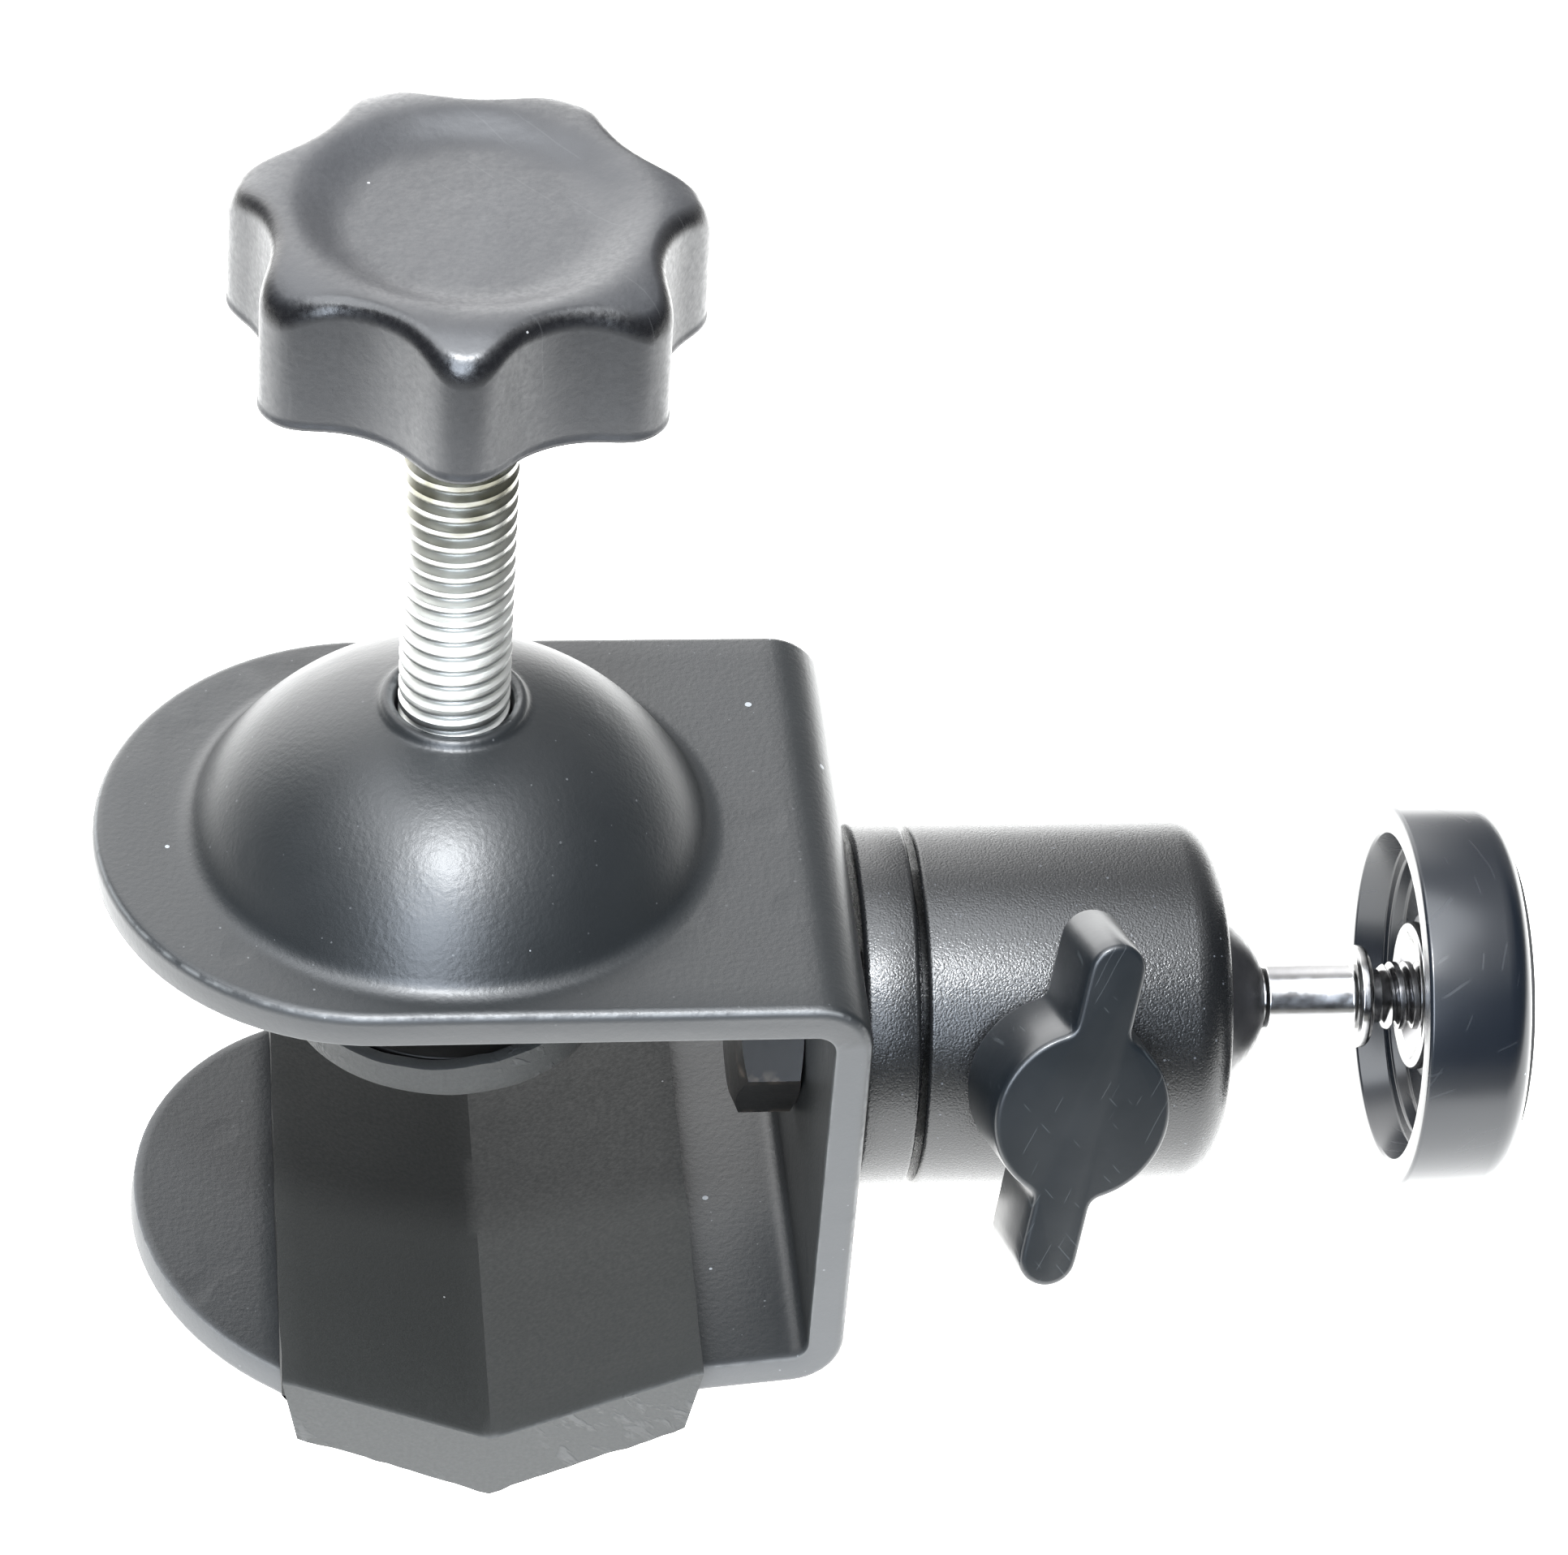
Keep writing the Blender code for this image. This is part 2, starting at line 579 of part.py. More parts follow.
def platform_disc():
    """Locking disc: a cup towards the ball head, a rounded outer edge, and a recess for the rubber face."""
    profile = [(4.6, 9.1), (14.7, 9.1), (14.7, 9.6)]
    profile += arc((14.8, 7.0), 2.6, 86, 0, 4)
    profile += [(DISC_RADIUS, 0), (14.75, 0), (14.1, 2.7), (13.0, 2.9), (12.8, 4.2), (8.0, 4.2)]
    profile += [(7.6, 3.3), (5.3, 3.3), (5.3, 7.9), (4.6, 7.9)]
    disc = turned("platform_disc", profile, 40)
    return finish(place(disc, (DISC_X, 0, HEAD_AXIS), along_x()), GLOSS_PLASTIC)


def platform_insert():
    """Threaded bush of the locking disc, with a conical mouth."""
    bore = STUD_RADIUS + GAP
    profile = [(bore, 7.6), (5.0, 7.6), (5.0, 3.0), (6.7, 3.0), (6.7, 1.7), (5.6, 1.7), (bore, 3.7)]
    insert = turned("platform_insert", profile, 28)
    return finish(place(insert, (DISC_X, 0, HEAD_AXIS), along_x()), CHROME)


def platform_pad():
    """Rubber face that the camera or lamp sits on."""
    pad = turned("platform_pad", [(5.0, 10.2), (14.3, 10.2), (14.3, 9.4), (5.0, 9.4)], 40)
    return finish(place(pad, (DISC_X, 0, HEAD_AXIS), along_x()), RUBBER)


def build():
    clamp_frame()
    weld_nut()
    v_pad()
    clamp_screw()
    star_knob()
    foot_disc()
    foot_ring()
    foot_boot()
    mount_bolt()
    base_washer()
    ballhead_base()
    ballhead_housing()
    ball_seat()
    ball()
    ball_stem()
    lock_plunger()
    lock_screw()
    wing_knob()
    platform_disc()
    platform_insert()
    platform_pad()


build()
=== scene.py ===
import json
from math import acos, cos, hypot, pi, radians, sin, sqrt, tan

import bmesh
import bpy
from mathutils import Euler, Matrix, Vector, noise
from mathutils.geometry import delaunay_2d_cdt


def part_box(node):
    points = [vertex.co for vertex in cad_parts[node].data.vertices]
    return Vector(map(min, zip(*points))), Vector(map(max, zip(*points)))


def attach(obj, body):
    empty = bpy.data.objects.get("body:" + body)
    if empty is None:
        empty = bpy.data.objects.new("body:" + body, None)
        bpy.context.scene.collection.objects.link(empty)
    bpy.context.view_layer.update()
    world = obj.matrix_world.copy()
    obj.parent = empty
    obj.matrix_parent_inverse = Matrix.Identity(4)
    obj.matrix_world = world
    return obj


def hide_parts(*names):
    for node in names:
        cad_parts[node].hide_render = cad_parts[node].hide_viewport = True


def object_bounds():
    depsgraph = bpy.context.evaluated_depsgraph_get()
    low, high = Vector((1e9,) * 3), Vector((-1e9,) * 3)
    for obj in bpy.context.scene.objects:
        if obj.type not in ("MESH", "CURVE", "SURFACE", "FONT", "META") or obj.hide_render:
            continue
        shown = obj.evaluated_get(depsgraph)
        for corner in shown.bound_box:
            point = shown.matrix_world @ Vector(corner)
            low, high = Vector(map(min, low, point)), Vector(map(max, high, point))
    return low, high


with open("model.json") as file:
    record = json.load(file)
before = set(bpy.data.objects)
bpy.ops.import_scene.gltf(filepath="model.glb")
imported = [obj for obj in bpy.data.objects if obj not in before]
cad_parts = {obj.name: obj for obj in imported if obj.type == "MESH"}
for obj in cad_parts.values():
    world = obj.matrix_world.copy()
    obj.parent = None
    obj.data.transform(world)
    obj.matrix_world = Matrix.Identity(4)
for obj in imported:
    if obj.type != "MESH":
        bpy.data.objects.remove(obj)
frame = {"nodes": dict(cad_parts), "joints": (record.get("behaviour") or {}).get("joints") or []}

MM = 0.001
CAD_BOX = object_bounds()
JOINTS = {joint["name"]: joint for joint in frame["joints"]}


def node_box(name):
    """Lowest and highest corner of a CAD node, in millimetres."""
    low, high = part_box(name)
    return low / MM, high / MM


# Places and sizes from the frame, in millimetres
FRAME_LOW, FRAME_HIGH = node_box("clamp_frame")
HALF_WIDTH = FRAME_HIGH.y
THICKNESS = 3.3
WALL_OUTER = FRAME_HIGH.x
COLLAR_TOP = FRAME_HIGH.z  # the collar round the screw, at the crown of the dome
DOME_TOP = COLLAR_TOP + 0.1
DOME_HEIGHT = 14.2
DOME_RADIUS = 22.4
PLATE_TOP = DOME_TOP - DOME_HEIGHT
LOW_PLATE = ((29.5, 3.9), (21.0, 2.9), (3.5, -4.4), (-14.0, 0.9), (-34.0, 3.2))  # top, (x, z)
END_RADIUS_X = 24.0
TOP_END = FRAME_LOW.x
LOW_END = -28.0
BEND_RADIUS = 3.35  # middle of the strip, at the wall
EDGE_ROUND = 1.0
BOLT_HOLE_RADIUS = 5.15
PAD_SLOPE = 0.435  # of both V faces
PAD_LIP_DEPTH = 7.65
SCREW_RADIUS = 9.525 / 2  # 3/8-16 UNC
SCREW_PITCH = 25.4 / 16
SCREW_HEAD_ACROSS = 14.3
STUD_RADIUS = 3.1  # 1/4-20 UNC, eased
STUD_PITCH = 25.4 / 20
LOCK_RADIUS = 2.85  # M6, eased
LOCK_PITCH = 1.0
PAD_LOW, PAD_HIGH = node_box("v_pad")
KNOB_LOW, KNOB_HIGH = node_box("star_knob")
BOOT_LOW, BOOT_HIGH = node_box("foot_boot")
DISC_LOW, DISC_HIGH = node_box("platform_disc")
HOUSING_LOW, HOUSING_HIGH = node_box("ballhead_housing")
BASE_LOW, BASE_HIGH = node_box("ballhead_base")
BALL = Vector(JOINTS["ball_pan"]["pos_m"]) / MM
FOOT_CENTRE = Vector(JOINTS["foot_tilt"]["pos_m"]) / MM
LOCK = Vector(JOINTS["lock_turn"]["pos_m"]) / MM
LOCK_AXIS = Vector(JOINTS["lock_turn"]["axis"]).normalized()
FLOOR_SIDE = 6.0  # metres from the middle
AXIS_X = Matrix(((0, 0, 1), (0, 1, 0), (-1, 0, 0)))  # local +Z to +X


# ---------------------------------------------------------------- materials


class Finish:
    """A Principled material and short ways to wire nodes into it."""

    def __init__(self, name):
        self.material = bpy.data.materials.new(name)
        self.material.use_nodes = True
        self.tree = self.material.node_tree
        self.shader = self.tree.nodes["Principled BSDF"]
        self.place = self.add("ShaderNodeTexCoord").outputs["Object"]

    def add(self, kind, inputs=(), **settings):
        node = self.tree.nodes.new(kind)
        for key, value in settings.items():
            setattr(node, key, value)
        for key, value in dict(inputs).items():
            self.feed(node.inputs[key], value)
        return node

    def feed(self, socket, value):
        if isinstance(value, bpy.types.NodeSocket):
            self.tree.links.new(value, socket)
        else:
            socket.default_value = value

    def stretch(self, scale, turn=(0, 0, 0)):
        """Coordinates turned, then scaled by axis, for grain that runs one way."""
        inputs = {"Vector": self.place, "Scale": [1 / s for s in scale], "Rotation": turn}
        return self.add("ShaderNodeMapping", inputs, vector_type="TEXTURE").outputs[0]

    def noise(self, scale, detail=2.0, rough=0.5, where=None, twist=0.0):
        inputs = {"Vector": where or self.place, "Scale": scale, "Detail": detail}
        inputs.update({"Roughness": rough, "Distortion": twist})
        return self.add("ShaderNodeTexNoise", inputs).outputs[0]

    def fit(self, value, low, high, start=0.0, end=1.0):
        """Maps low..high onto start..end, and keeps to that range."""
        inputs = {"Value": value, "From Min": low, "From Max": high, "To Min": start, "To Max": end}
        return self.add("ShaderNodeMapRange", inputs).outputs[0]

    def calc(self, operation, first, second=0.0):
        return self.add("ShaderNodeMath", {0: first, 1: second}, operation=operation).outputs[0]

    def times(self, first, second):
        return self.calc("MULTIPLY", first, second)

    def spread(self, noise, start, end):
        """Maps the range that a noise mostly keeps to onto start..end."""
        return self.fit(noise, 0.3, 0.7, start, end)

    def mix(self, factor, first, second):
        node = self.add("ShaderNodeMix", data_type="RGBA")
        self.feed(node.inputs[0], factor)
        for socket, value in ((node.inputs[6], first), (node.inputs[7], second)):
            self.feed(socket, value if isinstance(value, bpy.types.NodeSocket) else (*value, 1.0))
        return node.outputs[2]

    def bump(self, height, depth, under=None):
        inputs = {"Height": height, "Distance": depth, "Strength": 1.0}
        if under:
            inputs["Normal"] = under
        return self.add("ShaderNodeBump", inputs).outputs[0]

    def attribute(self, name):
        return self.add("ShaderNodeAttribute", attribute_name=name).outputs["Fac"]

    def specks(self, scale, size, share):
        """Small separate dots: 1 inside a dot, 0 elsewhere."""
        cell = self.add("ShaderNodeTexVoronoi", {"Vector": self.place, "Scale": scale})
        colour = self.add("ShaderNodeSeparateColor", {0: cell.outputs["Color"]}).outputs[0]
        reach = self.fit(colour, 1.0 - share, 1.0, 0.0, size)
        return self.calc("LESS_THAN", cell.outputs["Distance"], reach)

    def scratches(self, spacing, length, turn, width=0.03):
        """Short thin lines that run one way: 1 on a line, 0 elsewhere. Sizes in millimetres."""
        turned = self.stretch((1, 1, 1), turn)
        across = self.add("ShaderNodeSeparateXYZ", {0: turned}).outputs[0]
        wobble = self.times(self.noise(180.0, 1.0), 0.6)
        across = self.calc("ADD", self.times(across, 1 / (spacing * MM)), wobble)
        row = self.calc("FLOOR", across)
        near = self.calc("ABSOLUTE", self.calc("SUBTRACT", self.calc("FRACT", across), 0.5))
        shift = self.add("ShaderNodeTexWhiteNoise", {"W": row}, noise_dimensions="1D")
        inputs = {0: turned, 1: shift.outputs["Color"]}
        moved = self.add("ShaderNodeVectorMath", inputs, operation="ADD").outputs[0]
        there = self.fit(self.noise(1 / (length * MM), 0.0, 0.5, moved), 0.66, 0.72)
        return self.times(self.fit(near, width, width * 2, 1.0, 0.0), there)

    def done(self, colour, rough, normal=None, metal=0.0, **more):
        self.feed(self.shader.inputs["Base Color"], colour)
        self.feed(self.shader.inputs["Roughness"], rough)
        self.feed(self.shader.inputs["Metallic"], metal)
        if normal:
            self.feed(self.shader.inputs["Normal"], normal)
        for key, value in more.items():
            self.feed(self.shader.inputs[key.replace("_", " ")], value)
        return self.material


def powder_coat():
    """Semi-gloss black: orange peel, dents and dust; greyer where the strip was stamped."""
    f = Finish("powder_coat")
    smudge = f.noise(42.0, 4.0, 0.62)
    rim = f.attribute("rim")
    colour = f.mix(smudge, (0.006, 0.007, 0.0077), (0.0115, 0.013, 0.0142))
    colour = f.mix(f.times(rim, 0.85), colour, (0.052, 0.054, 0.056))
    colour = f.mix(f.specks(330.0, 0.1, 0.16), colour, (0.2, 0.21, 0.22))
    dust = f.times(f.specks(1300.0, 0.16, 0.22), f.fit(smudge, 0.45, 0.65, 0.1, 0.5))
    colour = f.mix(dust, colour, (0.16, 0.165, 0.17))
    chips = f.fit(f.noise(420.0, 3.0, 0.6), 0.4, 0.55)
    bare = f.times(f.times(f.attribute("wear"), chips), 0.18)
    colour = f.mix(bare, colour, (0.42, 0.43, 0.43))
    rough = f.calc("ADD", f.fit(smudge, 0.3, 0.75, 0.35, 0.43), f.times(rim, 0.15))
    peel = f.bump(f.noise(1900.0, 3.0, 0.6), 0.00003)
    dents = f.bump(f.fit(f.noise(130.0, 1.0, 0.4), 0.2, 0.36), 0.00006, peel)
    return f.done(colour, rough, dents)


def anodised():
    """Black anodised aluminium over a bead-blasted surface that sparkles, with light bluish specks
    painted in as glints.
    """
    f = Finish("anodised")
    grain = f.noise(5200.0, 1.0, 0.6)
    colour = f.mix(f.noise(60.0, 2.0), (0.0035, 0.0038, 0.0042), (0.006, 0.0064, 0.007))
    # Light bluish specks: painted glints of the bead-blasted surface.
    colour = f.mix(f.times(f.specks(2600.0, 0.3, 0.08), 0.3), colour, (0.16, 0.17, 0.19))
    normal = f.bump(grain, 0.00004)
    return f.done(colour, f.spread(grain, 0.25, 0.34), normal)


def ball_black():
    f = Finish("ball_black")
    fine = f.noise(1500.0, 2.0)
    colour = f.mix(f.noise(120.0, 3.0), (0.008, 0.008, 0.009), (0.015, 0.015, 0.016))
    return f.done(colour, f.spread(fine, 0.3, 0.42), f.bump(fine, 0.000008))


def zinc():
    """Bright zinc plate, rougher in the thread roots; the roots darkened as painted shade, and
    darker and slightly yellow higher up as a painted reflection of the warm room.
    """
    f = Finish("zinc")
    cloud = f.noise(180.0, 3.0, 0.6)
    root = f.attribute("root")
    colour = f.mix(cloud, (0.78, 0.79, 0.78), (0.62, 0.63, 0.61))
    tarnish = f.attribute("tarnish")
    # Darker and slightly yellow higher up: painted reflection of the warm room beyond the white
    # floor.
    reflection_mask = f.times(tarnish, f.fit(f.noise(300.0, 2.0), 0.35, 0.6, 0.5, 1.0))
    colour = f.mix(reflection_mask, colour, (0.2, 0.196, 0.158))
    # Thread roots darkened: painted shade in the grooves.
    colour = f.mix(f.times(root, 0.45), colour, (0.3, 0.3, 0.27))
    fine = f.noise(2400.0, 2.0, 0.6)
    rough = f.calc("ADD", f.spread(cloud, 0.28, 0.4), f.times(root, 0.2))
    return f.done(colour, rough, f.bump(fine, 0.000012), 1.0)


def chrome():
    f = Finish("chrome")
    fine = f.noise(800.0, 2.0)
    colour = f.mix(f.noise(150.0, 2.0), (0.34, 0.34, 0.335), (0.25, 0.25, 0.262))
    # Darker where the surface turns away from the view: painted shade along the outline.
    edge = f.add("ShaderNodeLayerWeight", {"Blend": 0.5}).outputs["Facing"]
    colour = f.mix(f.fit(edge, 0.4, 0.95), colour, (0.15, 0.15, 0.142))
    # Thread roots darkened: painted shade in the grooves.
    colour = f.mix(f.times(f.attribute("root"), 0.5), colour, (0.16, 0.16, 0.165))
    return f.done(colour, f.spread(fine, 0.14, 0.26), f.bump(fine, 0.000006), 1.0)


def black_oxide():
    """Darkened steel; its corners a little brown, as a painted reflection of the warm room."""
    f = Finish("black_oxide")
    cloud = f.noise(240.0, 4.0, 0.6)
    colour = f.mix(cloud, (0.011, 0.011, 0.011), (0.019, 0.018, 0.017))
    # Brown on the corners: painted reflection of the warm room.
    edges = f.times(f.attribute("wear"), f.fit(f.noise(700.0, 2.0), 0.45, 0.6))
    colour = f.mix(f.times(edges, 0.5), colour, (0.13, 0.105, 0.085))
    rough = f.spread(cloud, 0.34, 0.46)
    return f.done(colour, rough, f.bump(f.noise(1500.0, 2.0), 0.000012), 0.3)


def brass():
    f = Finish("brass")
    rings = f.noise(700.0, 2.0, 0.5, f.stretch((5, 1, 1)))
    colour = f.mix(rings, (0.72, 0.54, 0.24), (0.6, 0.43, 0.17))
    return f.done(colour, 0.3, f.bump(rings, 0.00001), 1.0)


def satin_plastic():
    """Moulded knob: soft grey-black, matt grain, faint flow marks and handling scuffs, and a
    glossier rounded top edge painted darker as shade.
    """
    f = Finish("satin_plastic")
    flow = f.noise(38.0, 3.0, 0.55, twist=0.6)
    grain = f.noise(2100.0, 2.0, 0.6)
    colour = f.mix(flow, (0.0165, 0.017, 0.0185), (0.034, 0.0345, 0.037))
    # Near black along the rounded top edge: painted shade.
    edge = f.attribute("wear")
    colour = f.mix(f.times(edge, 0.92), colour, (0.003, 0.003, 0.0035))
    colour = f.mix(f.specks(260.0, 0.05, 0.12), colour, (0.2, 0.2, 0.2))
    scuffs = f.scratches(1.3, 6.0, (0, 0, 0.7))
    colour = f.mix(f.times(scuffs, 0.05), colour, (0.2, 0.2, 0.2))
    rough = f.calc("SUBTRACT", f.spread(grain, 0.34, 0.47), f.times(edge, 0.14))
    normal = f.bump(f.noise(330.0, 3.0, 0.6), 0.00005, f.bump(grain, 0.000016))
    return f.done(colour, rough, f.bump(flow, 0.0003, normal))


def wing_plastic():
    """Glossy moulded plastic, blue-grey, with fine scratches from handling."""
    f = Finish("wing_plastic")
    flow = f.noise(70.0, 3.0, 0.55)
    colour = f.mix(flow, (0.003, 0.0044, 0.006), (0.006, 0.008, 0.0102))
    first, second = f.scratches(0.8, 3.0, (0, 0.5, 0)), f.scratches(1.1, 2.2, (0, -0.7, 0))
    scratch = f.calc("ADD", first, second)
    colour = f.mix(f.times(scratch, 0.09), colour, (0.16, 0.18, 0.19))
    colour = f.mix(f.specks(420.0, 0.06, 0.1), colour, (0.22, 0.24, 0.25))
    normal = f.bump(f.noise(400.0, 3.0, 0.6), 0.00002)
    return f.done(colour, f.spread(flow, 0.26, 0.4), f.bump(scratch, -0.000004, normal))


def gloss_plastic():
    """The disc: glossy black, slightly blue, with faint handling marks."""
    f = Finish("gloss_plastic")
    flow = f.noise(55.0, 3.0, 0.5)
    colour = f.mix(flow, (0.0035, 0.0048, 0.007), (0.0065, 0.0085, 0.012))
    first, second = f.scratches(1.4, 4.0, (0, 0.6, 0.3)), f.scratches(1.9, 5.0, (0.3, 1.2, 0))
    scratch = f.calc("ADD", first, second)
    colour = f.mix(f.times(scratch, 0.02), colour, (0.16, 0.18, 0.2))
    colour = f.mix(f.specks(380.0, 0.05, 0.1), colour, (0.22, 0.24, 0.26))
    normal = f.bump(f.noise(90.0, 2.0, 0.5), 0.00008)
    rough = f.calc("ADD", f.spread(flow, 0.2, 0.28), f.times(scratch, 0.06))
    return f.done(colour, rough, f.bump(scratch, -0.000001, normal))


def pad_rubber():
    """Moulded rubber: matt grain, dust, and lighter faces with blade marks where it was cut."""
    f = Finish("pad_rubber")
    grain = f.noise(2600.0, 2.0, 0.65)
    cloud = f.noise(65.0, 4.0, 0.6)
    cut = f.attribute("rim")
    colour = f.mix(cloud, (0.0068, 0.0074, 0.0069), (0.0118, 0.0126, 0.0118))
    colour = f.mix(f.times(cut, 0.85), colour, (0.042, 0.043, 0.042))
    colour = f.mix(f.specks(520.0, 0.07, 0.14), colour, (0.18, 0.18, 0.175))
    marks = f.noise(1.0, 2.0, 0.6, f.stretch((420, 900, 950), (0, 0.75, 0)), 0.4)
    marks = f.times(f.fit(marks, 0.54, 0.66), cut)
    marks = f.times(marks, f.fit(f.noise(95.0, 1.0), 0.46, 0.6))
    colour = f.mix(f.times(marks, 0.3), colour, (0.09, 0.09, 0.09))
    normal = f.bump(marks, 0.0001, f.bump(grain, 0.00003))
    return f.done(colour, f.spread(grain, 0.58, 0.72), normal, Specular_IOR_Level=0.34)


def face_rubber():
    f = Finish("face_rubber")
    grain = f.noise(1800.0, 3.0, 0.6)
    colour = f.mix(f.noise(90.0, 3.0), (0.014, 0.014, 0.014), (0.026, 0.026, 0.026))
    colour = f.mix(f.specks(420.0, 0.07, 0.1), colour, (0.25, 0.25, 0.25))
    return f.done(colour, f.spread(grain, 0.62, 0.78), f.bump(grain, 0.00004))


FINISHES = {
    "powder_coat": powder_coat(),
    "anodised": anodised(),
    "ball_black": ball_black(),
    "zinc": zinc(),
    "chrome": chrome(),
    "dark_steel": black_oxide(),
    "brass": brass(),
    "satin_plastic": satin_plastic(),
    "wing_plastic": wing_plastic(),
    "gloss_plastic": gloss_plastic(),
    "pad_rubber": pad_rubber(),
    "face_rubber": face_rubber(),
}


# ------------------------------------------------------------ mesh building


class Shape:
    """Points in millimetres, faces, and values such as wear that the material reads."""

    def __init__(self):
        self.points = []
        self.faces = []
        self.values = {}

    def point(self, x, y, z, **values):
        for key, value in values.items():
            self.values.setdefault(key, {})[len(self.points)] = value
        self.points.append((x, y, z))
        return len(self.points) - 1

    def ring(self, outline, z, **values):
        """A row of points, all at one height."""
        return [self.point(x, y, z, **values) for x, y in outline]

    def strip(self, first, second, loop=True):
        """Quads between two rows of point numbers."""
        count = len(first)
        for i in range(count if loop else count - 1):
            j = (i + 1) % count
            self.faces.append((first[i], first[j], second[j], second[i]))

    def fan(self, row, centre):
        for i, first in enumerate(row):
            self.faces.append((first, row[(i + 1) % len(row)], centre))

    def skin(self, rows, closed=False):
        """Joins each row to the next, and the last to the first if closed."""
        for first, second in zip(rows, rows[1:] + (rows[:1] if closed else [])):
            if len(first) == 1:
                self.fan(second, first[0])
            elif len(second) == 1:
                self.fan(first, second[0])
            else:
                self.strip(first, second)

    def cap(self, row):
        self.faces.append(tuple(row))

    def piece(self, name, body, slot, node, turn=None, centre=(0, 0, 0), sharp=40):
        """Makes the object, in place, riding on its body and standing for its CAD node."""
        mesh = bpy.data.meshes.new(name)
        mesh.from_pydata([Vector(p) * MM for p in self.points], [], self.faces)
        for key, chosen in self.values.items():
            layer = mesh.attributes.new(key, "FLOAT", "POINT")
            for index, value in chosen.items():
                layer.data[index].value = value
        work = bmesh.new()
        work.from_mesh(mesh)
        bmesh.ops.remove_doubles(work, verts=work.verts, dist=0.0000005)
        bmesh.ops.dissolve_degenerate(work, edges=work.edges, dist=0.0000005)
        bmesh.ops.recalc_face_normals(work, faces=work.faces)
        work.to_mesh(mesh)
        work.free()
        place = Matrix.Translation(Vector(centre) * MM)
        mesh.transform(place @ (turn or Matrix.Identity(3)).to_4x4())
        mesh.shade_smooth()
        mesh.set_sharp_from_angle(angle=radians(sharp))
        mesh.materials.append(FINISHES[slot])
        made = bpy.data.objects.new(name, mesh)
        bpy.context.scene.collection.objects.link(made)
        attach(made, body)
        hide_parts(node)


def rounded(corners, closed=False, steps=4):
    """A path of (a, b) or (a, b, radius) corners with its corners rounded."""
    path = []
    count = len(corners)
    for i, corner in enumerate(corners):
        here = Vector(corner[:2])
        radius = corner[2] if len(corner) > 2 else 0
        if radius == 0 or (not closed and i in (0, count - 1)):
            path.append(tuple(here))
            continue
        before = (Vector(corners[i - 1][:2]) - here).normalized()
        after = (Vector(corners[(i + 1) % count][:2]) - here).normalized()
        half = acos(max(-1, min(1, before.dot(after)))) / 2
        middle = here + (before + after).normalized() * (radius / sin(half))
        start = here + before * (radius / tan(half)) - middle
        end = here + after * (radius / tan(half)) - middle
        for k in range(steps + 1):
            share = k / steps
            swing = start * sin((1 - share) * (pi - 2 * half)) + end * sin(share * (pi - 2 * half))
            path.append(tuple(middle + swing / sin(pi - 2 * half)))
    return path


def around(steps):
    """The angles of one full turn."""
    return [2 * pi * i / steps for i in range(steps)]


def circle(radius, steps, x=0.0):
    """Points round a circle, anticlockwise."""
    return [(x + radius * cos(t), radius * sin(t)) for t in around(steps)]


def arc(radius, start, end, steps, centre=0.0):
    """Points of an arc about (0, centre), from the angle start, without the last one."""
    angles = [start + (end - start) * i / steps for i in range(steps)]
    return [(radius * cos(a), centre + radius * sin(a)) for a in angles]


def lathe(shape, profile, steps=96, closed=False, **values):
    """Turns (r, h) points about Z. Points on the axis become single points."""
    rows = []
    for r, h in profile:
        outline = [(0, 0)] if r < 1e-6 else circle(r, steps)
        rows.append(shape.ring(outline, h, **values))
    shape.skin(rows, closed)
    return shape


def thread(shape, radius, pitch, depth, low, high, steps, tarnish=None):
    """A closed right-handed thread from low to high, chamfered at both ends."""
    # Shares of the pitch and of the depth, from one crest to the next
    form = ((0.0, 0.0), (0.07, 0.3), (0.16, 0.85), (0.24, 1.0), (0.34, 1.0))
    form += ((0.42, 0.85), (0.52, 0.25), (0.6, 0.03), (0.8, 0.0))
    count = (int((high - low) / pitch) + 2) * steps
    core = radius - depth
    rows = []
    for i in range(count + 1):
        angle = 2 * pi * i / steps
        row = []
        for along, sunk in form:
            z = low - pitch + pitch * (i / steps + along)
            kept = min(max(z, low), high)
            r = min(radius - depth * sunk, core + 0.9 * min(kept - low, high - kept))
            # Share of painted reflection of the warm room at this height, read by the material.
            tint = tarnish(kept) if tarnish else 0.0
            spot = (r * cos(angle), r * sin(angle), kept)
            row.append(shape.point(*spot, root=sunk, tarnish=tint))
        rows.append(row)
    for i in range(count):
        shape.strip(rows[i], rows[i + 1], loop=False)
        if i + 1 + steps < len(rows):
            ends = (rows[i][-1], rows[i + 1][-1], rows[i + 1 + steps][0], rows[i + steps][0])
            shape.faces.append(ends)
    lathe(shape, [(0, low), (core, low)], steps, root=0.5)
    lathe(shape, [(core, high), (0, high)], steps, root=0.5)
    return shape


def outward(outline):
    """Unit normals of a closed outline that runs anticlockwise."""
    normals = []
    for i in range(len(outline)):
        along = Vector(outline[(i + 1) % len(outline)]) - Vector(outline[i - 1])
        normals.append(Vector((along.y, -along.x)).normalized())
    return normals


def inset(outline, distance):
    normals = outward(outline)
    return [(x - n.x * distance, y - n.y * distance) for (x, y), n in zip(outline, normals)]


# --------------------------------------------------------------- the frame


